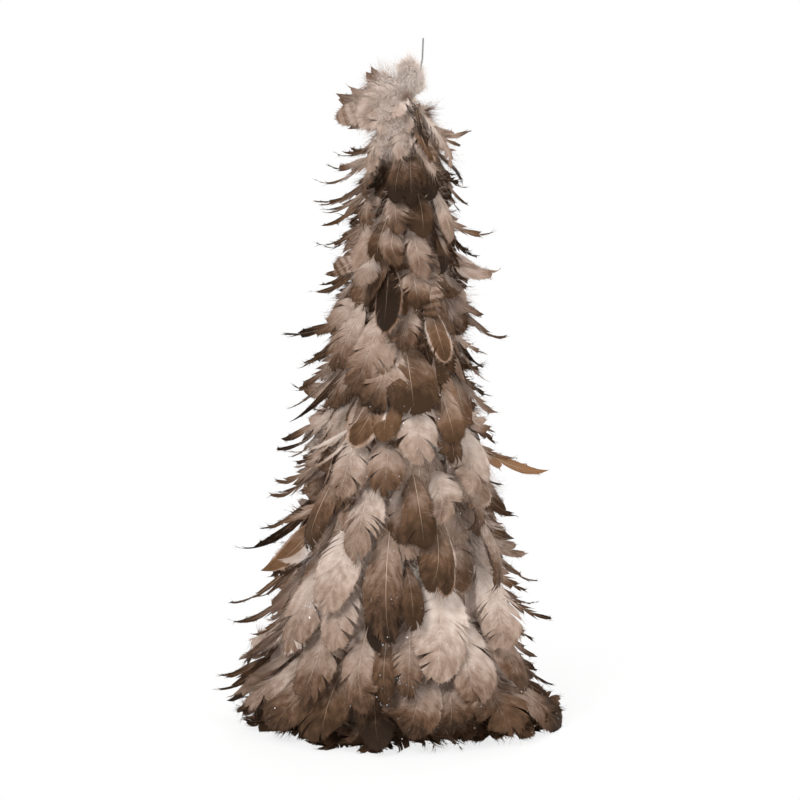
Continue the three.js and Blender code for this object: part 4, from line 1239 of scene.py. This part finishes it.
def grow_hackle(number):
    """One long narrow feather, or a few side by side, whose tip flicks outwards, in the place of its node."""
    rng = np.random.default_rng(HACKLE_SEED + number)
    name = hackle_name(number)
    low, high = node_box(name)
    middle = (low + high) / 2
    top = high[2] - 1.0
    turn = math.atan2(middle[1], middle[0] - axis_x(top))
    root = surface_point(math.degrees(turn), top, 0.6)
    plumage = Plumage()
    if number in HACKLE_STRANDS:
        forward = -math.degrees(math.atan2(middle[1], abs(middle[0] - axis_x(top))))
        for row_of_table in HACKLE_STRANDS[number]:
            add_side_feather(plumage, rng, root, forward + rng.normal(0, 2), row_of_table)
        return plumage.mesh(name + "_feather")
    out = outwards(turn)
    side = sideways(out)
    far = np.abs(np.where(out > 0, high, low) - root) @ np.abs(out)
    fall = high[2] - low[2]
    warm = is_warm(number)
    strands = 1 if warm else rng.integers(2, 5)
    tone = rng.uniform(0.25, 0.6)
    for strand in range(strands):
        reach = far * rng.uniform(*((0.86, 0.97) if strand == 0 else (0.55, 0.85)))
        rise = rng.uniform(0.04, 0.34) * fall
        tip = root + out * reach + UP * (low[2] + rise - top) + side * rng.normal(0, 6)
        second = root + out * reach * rng.uniform(0.1, 0.35) - UP * fall * rng.uniform(0.35, 0.55)
        third = tip - out * reach * rng.uniform(0.3, 0.5) - UP * rise * rng.uniform(0.1, 0.9)
        path, across = curve_path(root, second, third, tip, side)
        add_feather(plumage, rng, "hackle", path, across, width=rng.uniform(5, 9), barbs=60,
                    roll=rng.normal(0, 28), twist=rng.normal(0, 40), shaft=0.4, widest=rng.uniform(0.35, 0.6),
                    splits=rng.uniform(1, 5), gap=1.2, pull=rng.uniform(0.2, 0.6), ruffle=0.7,
                    hair_length=4.0, tone=0.34 if warm else tone + rng.normal(0, 0.06),
                    warmth=0.26 if warm else 0.05, tip=rng.uniform(0.1, 0.4), down=30)
    return plumage.mesh(name + "_feather")


def grow_plume(number):
    """The soft feathers of the crown that stand in the place of one packed plume."""
    rng = np.random.default_rng(PLUME_SEED + number)
    bead = (BEAD_LOW + BEAD_HIGH) / 2
    plumage = Plumage()
    for column, row, depth, width, arch, curl, kind, values in CROWN_STRANDS[number]:
        tip = picture_place(column, row, depth)
        out = tip - bead
        out[2] = 0
        out /= np.linalg.norm(out)
        root = bead + out * 3.4 + UP * rng.uniform(-2.0, 1.5)
        # One that arches far down falls beside the neck first, and only then goes out to its tip.
        early, late = (0.2, 0.72) if arch > -6 else (-0.02, 0.5)
        second = root + (tip - root) * early + UP * arch * 1.6
        third = root + (tip - root) * late + UP * (arch * 0.4 - curl)
        path, across = curve_path(root, second, third, tip, sideways(out))
        # One that sweeps to the left or right turns its flat side to the front.
        if abs(out[0]) > 0.7:
            across = curve_across(path, TO_FRONT)
        add_feather(plumage, rng, kind, path, across, width=width, barbs=56, roll=rng.normal(0, 20),
                    twist=rng.normal(0, 25), **values)
    return plumage.mesh(plume_name(number) + "_feathers")


def grow_tuft():
    """The ball of down on top, beside the wire, and the down that covers the neck below it."""
    rng = np.random.default_rng(TUFT_SEED)
    low, high = node_box("crown_tuft")
    foot = np.array([(BEAD_LOW[0] + BEAD_HIGH[0]) / 2, 0.0, low[2] + 1.0])
    plumage = Plumage()
    ball = np.array([(low[0] + high[0]) / 2 - 1.6, 0.0, low[2] + 18.0])
    size = np.array([8.6, 8.4, 11.5])

    # Fluff that stands up round the wire, and fluff that hangs down the neck.
    for i in range(14):
        out = outwards(TURN * i / 14 + rng.normal(0, 0.2))
        rise = rng.uniform(10, 20)
        reach = rng.uniform(2, 6)
        root = foot + out * 2.5
        curve = [root + out * reach * far + UP * rise * high_up
                 for far, high_up in ((0, 0), (1.2, 0.3), (1.2, 0.7), (0.6, 1))]
        path, across = curve_path(*curve, sideways(out))
        add_feather(plumage, rng, "fluff", path, across, roll=rng.normal(0, 20), twist=rng.normal(0, 60),
                    tone=0.84, tip=0.0, down=120, down_length=8.0, shaft=0.25)
    for i in range(12):
        azimuth = rng.uniform(110, 300)
        path, across = hang(azimuth, low[2] - 8, 2.0, rng.uniform(22, 34), rng.uniform(4, 24),
                            rng.uniform(0, 24), 1.2, rng.normal(0, 14), rng.normal(0, 18))
        add_feather(plumage, rng, "fluff", path, across, roll=rng.normal(0, 20), twist=rng.normal(0, 40),
                    tone=0.66, tip=0.0, down=170, down_length=13.0, shaft=0.3)

    # The ball, whose form swells and sinks, and the lobes beside and below it.
    count = 4200
    aims = unit(rng.normal(0, 1, (count, 3)))
    lumps = 1 + 0.16 * np.sin(aims[:, :1] * 5 + 1) * np.sin(aims[:, 1:2] * 4) + 0.1 * np.sin(aims[:, 2:] * 7)
    roots = ball + aims * size * lumps * rng.uniform(0.1, 0.8, (count, 1))
    lengths = rng.uniform(2.0, 6.0, count) + 5.0 * rng.random(count) ** 4
    add_fluff(plumage, rng, roots, aims + rng.normal(0, 0.5, (count, 3)), lengths, 0.66)
    for column, row, depth, spread, count, tone in TUFT_LOBES:
        aims = unit(rng.normal(0, 1, (count, 3)))
        roots = picture_place(column, row, depth) + aims * spread * rng.uniform(0.1, 0.9, (count, 1))
        aims = aims + rng.normal(0, 0.5, (count, 3))
        add_fluff(plumage, rng, roots, aims, rng.uniform(2.0, 7.0, count), tone)
    return plumage.mesh("crown_tuft_down")


def grow_glitter(meshes):
    """Small flakes of silver glitter that stick to the outermost vanes."""
    rng = np.random.default_rng(GLITTER_SEED)

    # The points on vanes, and of these the outermost in each cell of 3 mm round and up the tree.
    points = []
    for mesh in meshes:
        spots = np.empty(len(mesh.vertices) * 3, np.float32)
        marks = np.empty(len(mesh.vertices) * 4, np.float32)
        mesh.vertices.foreach_get("co", spots)
        mesh.attributes["mark"].data.foreach_get("color", marks)
        vane = marks.reshape(-1, 4)[:, 3] < (ON_VANE + ON_DOWN) / 2
        points.append(spots.reshape(-1, 3)[vane] / MM)
    points = np.concatenate(points).astype(float)
    out = np.hypot(points[:, 0] - axis_x(points[:, 2]), points[:, 1])
    turn = np.arctan2(points[:, 1], points[:, 0] - axis_x(points[:, 2]))
    cell = np.round(turn * (out + 8) / 3).astype(int) * 1000 + np.round(points[:, 2] / 3).astype(int)
    order = np.lexsort((-out, cell))
    _, first = np.unique(cell[order], return_index=True)
    front = points[order[first]]
    front = front[front[:, 2] > 4]
    column, row, _ = to_picture(*front.T)
    chance = np.full(len(front), GLITTER_SHARE) * smooth(430, 250, front[:, 2])
    for spot_column, spot_row, spread, weight in GLITTER_SPOTS:
        near = np.hypot(column - spot_column, row - spot_row) / spread
        chance += weight * np.exp(-near ** 2) * (front[:, 1] < 0)
    picked = np.flatnonzero(rng.random(len(front)) < chance)
    picked = np.concatenate([picked, np.repeat(picked[chance[picked] > GLITTER_HEAP], 9)])

    # One six-sided flake at each picked point, a little off the vane and above the table.
    away = unit(np.stack([front[picked, 0], front[picked, 1], np.full(len(picked), 12.0)], 1))
    centres = front[picked] + away * rng.uniform(0.2, 0.7, (len(picked), 1))
    centres = centres + rng.normal(0, 1.6, (len(picked), 3))
    centres[:, 2] = np.maximum(centres[:, 2], 1.0)
    first = unit(np.cross(away + rng.normal(0, 0.5, away.shape), rng.normal(0, 1, away.shape)))
    second = np.cross(away, first)
    angle = TURN * np.arange(6) / 6
    radius = rng.uniform(0.14, 0.38, (len(picked), 1, 1))
    rims = centres[:, None] + radius * (np.cos(angle)[None, :, None] * first[:, None]
                                        + np.sin(angle)[None, :, None] * second[:, None])
    flakes = np.concatenate([rims, rims + away[:, None] * 0.06], 1)
    faces = [[0, 2, 1], [0, 3, 2], [0, 4, 3], [0, 5, 4], [6, 7, 8], [6, 8, 9], [6, 9, 10], [6, 10, 11]]
    for i in range(6):
        j = (i + 1) % 6
        faces += [[i, j, j + 6], [i, j + 6, i + 6]]
    faces = (np.array(faces)[None] + 12 * np.arange(len(picked))[:, None, None]).reshape(-1, 3)
    mesh = bpy.data.meshes.new("silver_glitter")
    mesh.from_pydata((flakes.reshape(-1, 3) * MM).tolist(), [], faces.tolist())
    mesh.update()
    return mesh


# Operators, one for each piece or group of like pieces

class FeatherTreeSizes(bpy.types.PropertyGroup):
    """Sizes and counts of the feathers."""

    width_at_tip: FloatProperty(name="Width at the tip", description="Width of the highest tier's feathers",
                                default=0.021, subtype="DISTANCE", unit="LENGTH")
    width_at_foot: FloatProperty(name="Width at the foot", description="Width of the lowest tier's feathers",
                                 default=0.042, subtype="DISTANCE", unit="LENGTH")
    fullness: FloatProperty(name="Fullness", description="How often a tier's feathers would go round it",
                            default=4.6, min=1.0, max=6.0)
    wisps: FloatProperty(name="Wisps", description="Narrow feathers for each broad one of a tier",
                         default=0.55, min=0.0, max=2.0)


def colour_property(name, description, default):
    """A colour that the panel shows."""
    return FloatVectorProperty(name=name, description=description, subtype="COLOR", size=3,
                               default=default, min=0, max=1)


class FeatherTreeColours(bpy.types.PropertyGroup):
    """The colours that a feather runs through, and those of golden vanes and of shafts."""

    dark: colour_property("Dark", "The darkest tips", (0.021, 0.012, 0.007))
    brown: colour_property("Brown", "Brown vanes", (0.115, 0.064, 0.038))
    taupe: colour_property("Taupe", "Most vanes", (0.320, 0.231, 0.181))
    pale: colour_property("Pale", "Down and the vane near it", (0.570, 0.465, 0.404))
    cream: colour_property("Cream", "The palest feathers", (0.730, 0.645, 0.588))
    warm: colour_property("Golden brown", "Golden brown vanes", (0.270, 0.140, 0.065))
    shaft: colour_property("Shaft", "The pale shafts", (0.620, 0.500, 0.390))


class FeatherTreeStage(bpy.types.PropertyGroup):
    """The camera and the light."""

    camera_height: FloatProperty(name="Camera elevation", description="How far the camera looks down",
                                 default=VIEW_RISE, subtype="ANGLE")
    camera_distance: FloatProperty(name="Camera distance", description="From the tree's axis",
                                   default=VIEW_DISTANCE * MM, subtype="DISTANCE", unit="LENGTH")
    view_width: FloatProperty(name="View width", description="What the picture spans at the axis",
                              default=PIXEL * CENTRE * 2 * MM, subtype="DISTANCE", unit="LENGTH")
    light: FloatProperty(name="Light", description="Strength of the lamps", default=1.0, min=0.0)


class FEATHERTREE_OT_core(bpy.types.Operator):
    """Finish the foot card, the foam cone, the wire and the glue"""

    bl_idname = "feather_tree.core"
    bl_label = "Card, foam, wire and glue"

    def execute(self, context):
        finishes = {
            "foot_card": ("brown board", (0.27, 0.20, 0.145), (0.19, 0.135, 0.095), 700, 0.85),
            "foam_cone": ("white foam", (0.80, 0.78, 0.73), (0.66, 0.64, 0.60), 900, 0.8),
            "tip_wire": ("drawn wire", (0.30, 0.29, 0.28), (0.2, 0.19, 0.19), 400, 0.45, 0.9),
            "glue_bead": ("set glue", (0.68, 0.60, 0.48), (0.6, 0.52, 0.4), 250, 0.35),
        }
        for node, finish in finishes.items():
            material = grained_material(*finish)
            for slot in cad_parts[node].material_slots:
                slot.material = material
        return {"FINISHED"}


class FEATHERTREE_OT_tiers(bpy.types.Operator):
    """Grow the tiers of feather trim"""

    bl_idname = "feather_tree.tiers"
    bl_label = "Feather tiers"

    def execute(self, context):
        material = feather_material("taupe feather", context.scene.feather_tree_colours)
        for tier in range(1, TIER_COUNT + 1):
            mesh = grow_tier(tier, context.scene.feather_tree_sizes)
            finish_piece(mesh, material, tier_name(tier))
        return {"FINISHED"}


class FEATHERTREE_OT_skirt(bpy.types.Operator):
    """Grow the dark feathers that spread on the table, dark partly by their own colour and partly by painted
    shade
    """

    bl_idname = "feather_tree.skirt"
    bl_label = "Feather skirt"

    def execute(self, context):
        material = feather_material("dark feather", context.scene.feather_tree_colours)
        finish_piece(grow_skirt(context.scene.feather_tree_sizes), material, "feather_skirt")
        return {"FINISHED"}


class FEATHERTREE_OT_hackles(bpy.types.Operator):
    """Grow the single long hackles"""

    bl_idname = "feather_tree.hackles"
    bl_label = "Hackles"

    def execute(self, context):
        colours = context.scene.feather_tree_colours
        for number in range(1, HACKLE_COUNT + 1):
            warm = is_warm(number)
            material = feather_material("golden hackle" if warm else "dark feather", colours)
            finish_piece(grow_hackle(number), material, hackle_name(number))
        return {"FINISHED"}


class FEATHERTREE_OT_crown(bpy.types.Operator):
    """Grow the crown's plumes and its tuft of down"""

    bl_idname = "feather_tree.crown"
    bl_label = "Crown"

    def execute(self, context):
        material = feather_material("pale feather", context.scene.feather_tree_colours)
        for number in range(1, PLUME_COUNT + 1):
            finish_piece(grow_plume(number), material, plume_name(number))
        finish_piece(grow_tuft(), material, "crown_tuft")
        return {"FINISHED"}


class FEATHERTREE_OT_glitter(bpy.types.Operator):
    """Strew silver glitter on the outermost vanes"""

    bl_idname = "feather_tree.glitter"
    bl_label = "Glitter"

    def execute(self, context):
        meshes = [bpy.data.meshes[tier_name(tier) + "_trim"] for tier in range(1, TIER_COUNT + 1)]
        material = grained_material("silver glitter", (0.86, 0.88, 0.92), (0.7, 0.72, 0.78), 900, 0.25, 0.85)
        finish_piece(grow_glitter(meshes), material, None)
        return {"FINISHED"}


class FEATHERTREE_OT_stage(bpy.types.Operator):
    """Lay the floor, set the lamps and the world, and place the camera"""

    bl_idname = "feather_tree.stage"
    bl_label = "Floor, light and camera"

    def execute(self, context):
        settings = context.scene.feather_tree_stage
        build_floor()
        build_world()
        build_lamps(settings.light)
        build_camera(settings)
        context.scene.view_settings.view_transform = "Standard"
        return {"FINISHED"}


def seen_directly(tree, place_at):
    """1 for rays from the camera and for reflections and refractions of the background."""
    path = add_node(tree, "ShaderNodeLightPath", place_at)
    either = add_math(tree, "MAXIMUM", (place_at[0] + 200, place_at[1]), path.outputs["Is Camera Ray"],
                      path.outputs["Is Glossy Ray"])
    return add_math(tree, "MAXIMUM", (place_at[0] + 400, place_at[1]), either,
                    path.outputs["Is Transmission Ray"], True)


# The floor lies this much lower than the card, in metres, so that the two faces don't fight from below.
FLOOR_DROP = 0.0002


def build_floor():
    """A wide pale floor that renders white and keeps part of the tree's shadow."""
    bpy.ops.mesh.primitive_plane_add(size=12.0, location=(0, 0, -FLOOR_DROP))
    floor = bpy.context.object
    floor.name = "floor"
    material, shader = surface_material("pale floor", roughness=0.9)
    shader.inputs["Base Color"].default_value = (0.9, 0.9, 0.9, 1)
    tree = material.node_tree
    glow = add_node(tree, "ShaderNodeEmission", (0, -300), Strength=1.0)
    mix = add_node(tree, "ShaderNodeMixShader", (250, 0))
    where = add_node(tree, "ShaderNodeTexCoord", (-900, 500))
    distance = add_node(tree, "ShaderNodeVectorMath", (-700, 500))
    distance.operation = "LENGTH"
    tree.links.new(where.outputs["Object"], distance.inputs[0])
    fade = add_range(tree, (-400, 500), distance.outputs["Value"], 0.1, 0.36, 0.8, 1.0)
    share = add_math(tree, "MULTIPLY", (0, 250), seen_directly(tree, (-700, 250)), fade)
    tree.links.new(share, mix.inputs[0])
    tree.links.new(shader.outputs[0], mix.inputs[1])
    tree.links.new(glow.outputs[0], mix.inputs[2])
    tree.links.new(mix.outputs[0], tree.nodes["Material Output"].inputs["Surface"])
    floor.data.materials.append(material)


def build_world():
    """A soft grey world that the camera sees as white."""
    world = bpy.data.worlds.new("studio")
    bpy.context.scene.world = world
    world.use_nodes = True
    tree = world.node_tree
    soft = tree.nodes["Background"]
    soft.inputs["Color"].default_value = (1.0, 0.98, 0.96, 1)
    soft.inputs["Strength"].default_value = 0.66
    white = add_node(tree, "ShaderNodeBackground", (0, -200), Color=(1, 1, 1, 1), Strength=1.0)
    mix = add_node(tree, "ShaderNodeMixShader", (250, 0))
    tree.links.new(seen_directly(tree, (-700, 200)), mix.inputs[0])
    tree.links.new(soft.outputs[0], mix.inputs[1])
    tree.links.new(white.outputs[0], mix.inputs[2])
    tree.links.new(mix.outputs[0], tree.nodes["World Output"].inputs["Surface"])


def aim(thing, target):
    """Turns a lamp or camera towards a place."""
    thing.rotation_euler = (Vector(target) - thing.location).to_track_quat("-Z", "Y").to_euler()


def build_lamps(strength):
    """Three large soft lamps: a key, a fill and a back light."""
    lamps = (
        ("key lamp", (-1.0, -1.9, 1.8), 0.9, 44.0),
        ("fill lamp", (1.7, -1.6, 0.9), 1.4, 16.0),
        ("back lamp", (0.4, 1.6, 1.9), 1.2, 18.0),
    )
    for name, place_at, size, power in lamps:
        light = bpy.data.lights.new(name, "AREA")
        light.shape = "DISK"
        light.size = size
        light.energy = power * strength
        lamp = bpy.data.objects.new(name, light)
        lamp.location = place_at
        bpy.context.scene.collection.objects.link(lamp)
        aim(lamp, (0, 0, 0.24))


def build_camera(settings):
    """The camera, in front of the tree and a little above it."""
    data = bpy.data.cameras.new("camera")
    camera = bpy.data.objects.new("camera", data)
    bpy.context.scene.collection.objects.link(camera)
    target = Vector((TARGET_X, 0.0, TARGET_HEIGHT)) * MM
    distance = settings.camera_distance
    rise = settings.camera_height
    camera.location = target + Vector((0, -math.cos(rise), math.sin(rise))) * distance
    data.sensor_width = 36.0
    data.lens = data.sensor_width * distance / settings.view_width
    aim(camera, target)
    bpy.context.scene.camera = camera


class FEATHERTREE_PT_panel(bpy.types.Panel):
    """Lists the steps that dress the tree, with their sizes and colours"""

    bl_idname = "FEATHERTREE_PT_panel"
    bl_label = "Feather Tree"
    bl_space_type = "VIEW_3D"
    bl_region_type = "UI"
    bl_category = "Feather Tree"

    def draw(self, context):
        for settings in (context.scene.feather_tree_sizes, context.scene.feather_tree_colours,
                         context.scene.feather_tree_stage):
            box = self.layout.box()
            for name in settings.__annotations__:
                box.prop(settings, name)
        for operator in OPERATORS:
            self.layout.operator(operator.bl_idname)


GROUPS = (FeatherTreeSizes, FeatherTreeColours, FeatherTreeStage)
OPERATORS = (FEATHERTREE_OT_core, FEATHERTREE_OT_tiers, FEATHERTREE_OT_skirt, FEATHERTREE_OT_hackles,
             FEATHERTREE_OT_crown, FEATHERTREE_OT_glitter, FEATHERTREE_OT_stage)


def register():
    for cls in (*GROUPS, *OPERATORS, FEATHERTREE_PT_panel):
        bpy.utils.register_class(cls)
    bpy.types.Scene.feather_tree_sizes = PointerProperty(type=FeatherTreeSizes)
    bpy.types.Scene.feather_tree_colours = PointerProperty(type=FeatherTreeColours)
    bpy.types.Scene.feather_tree_stage = PointerProperty(type=FeatherTreeStage)


def unregister():
    del bpy.types.Scene.feather_tree_stage
    del bpy.types.Scene.feather_tree_colours
    del bpy.types.Scene.feather_tree_sizes
    for cls in reversed((*GROUPS, *OPERATORS, FEATHERTREE_PT_panel)):
        bpy.utils.unregister_class(cls)


def main():
    """Builds every piece in order."""
    register()
    bpy.ops.object.select_all(action="DESELECT")
    bpy.ops.feather_tree.core()
    bpy.ops.feather_tree.tiers()
    bpy.ops.feather_tree.skirt()
    bpy.ops.feather_tree.hackles()
    bpy.ops.feather_tree.crown()
    bpy.ops.feather_tree.glitter()
    bpy.ops.feather_tree.stage()


if __name__ == "__main__":
    main()
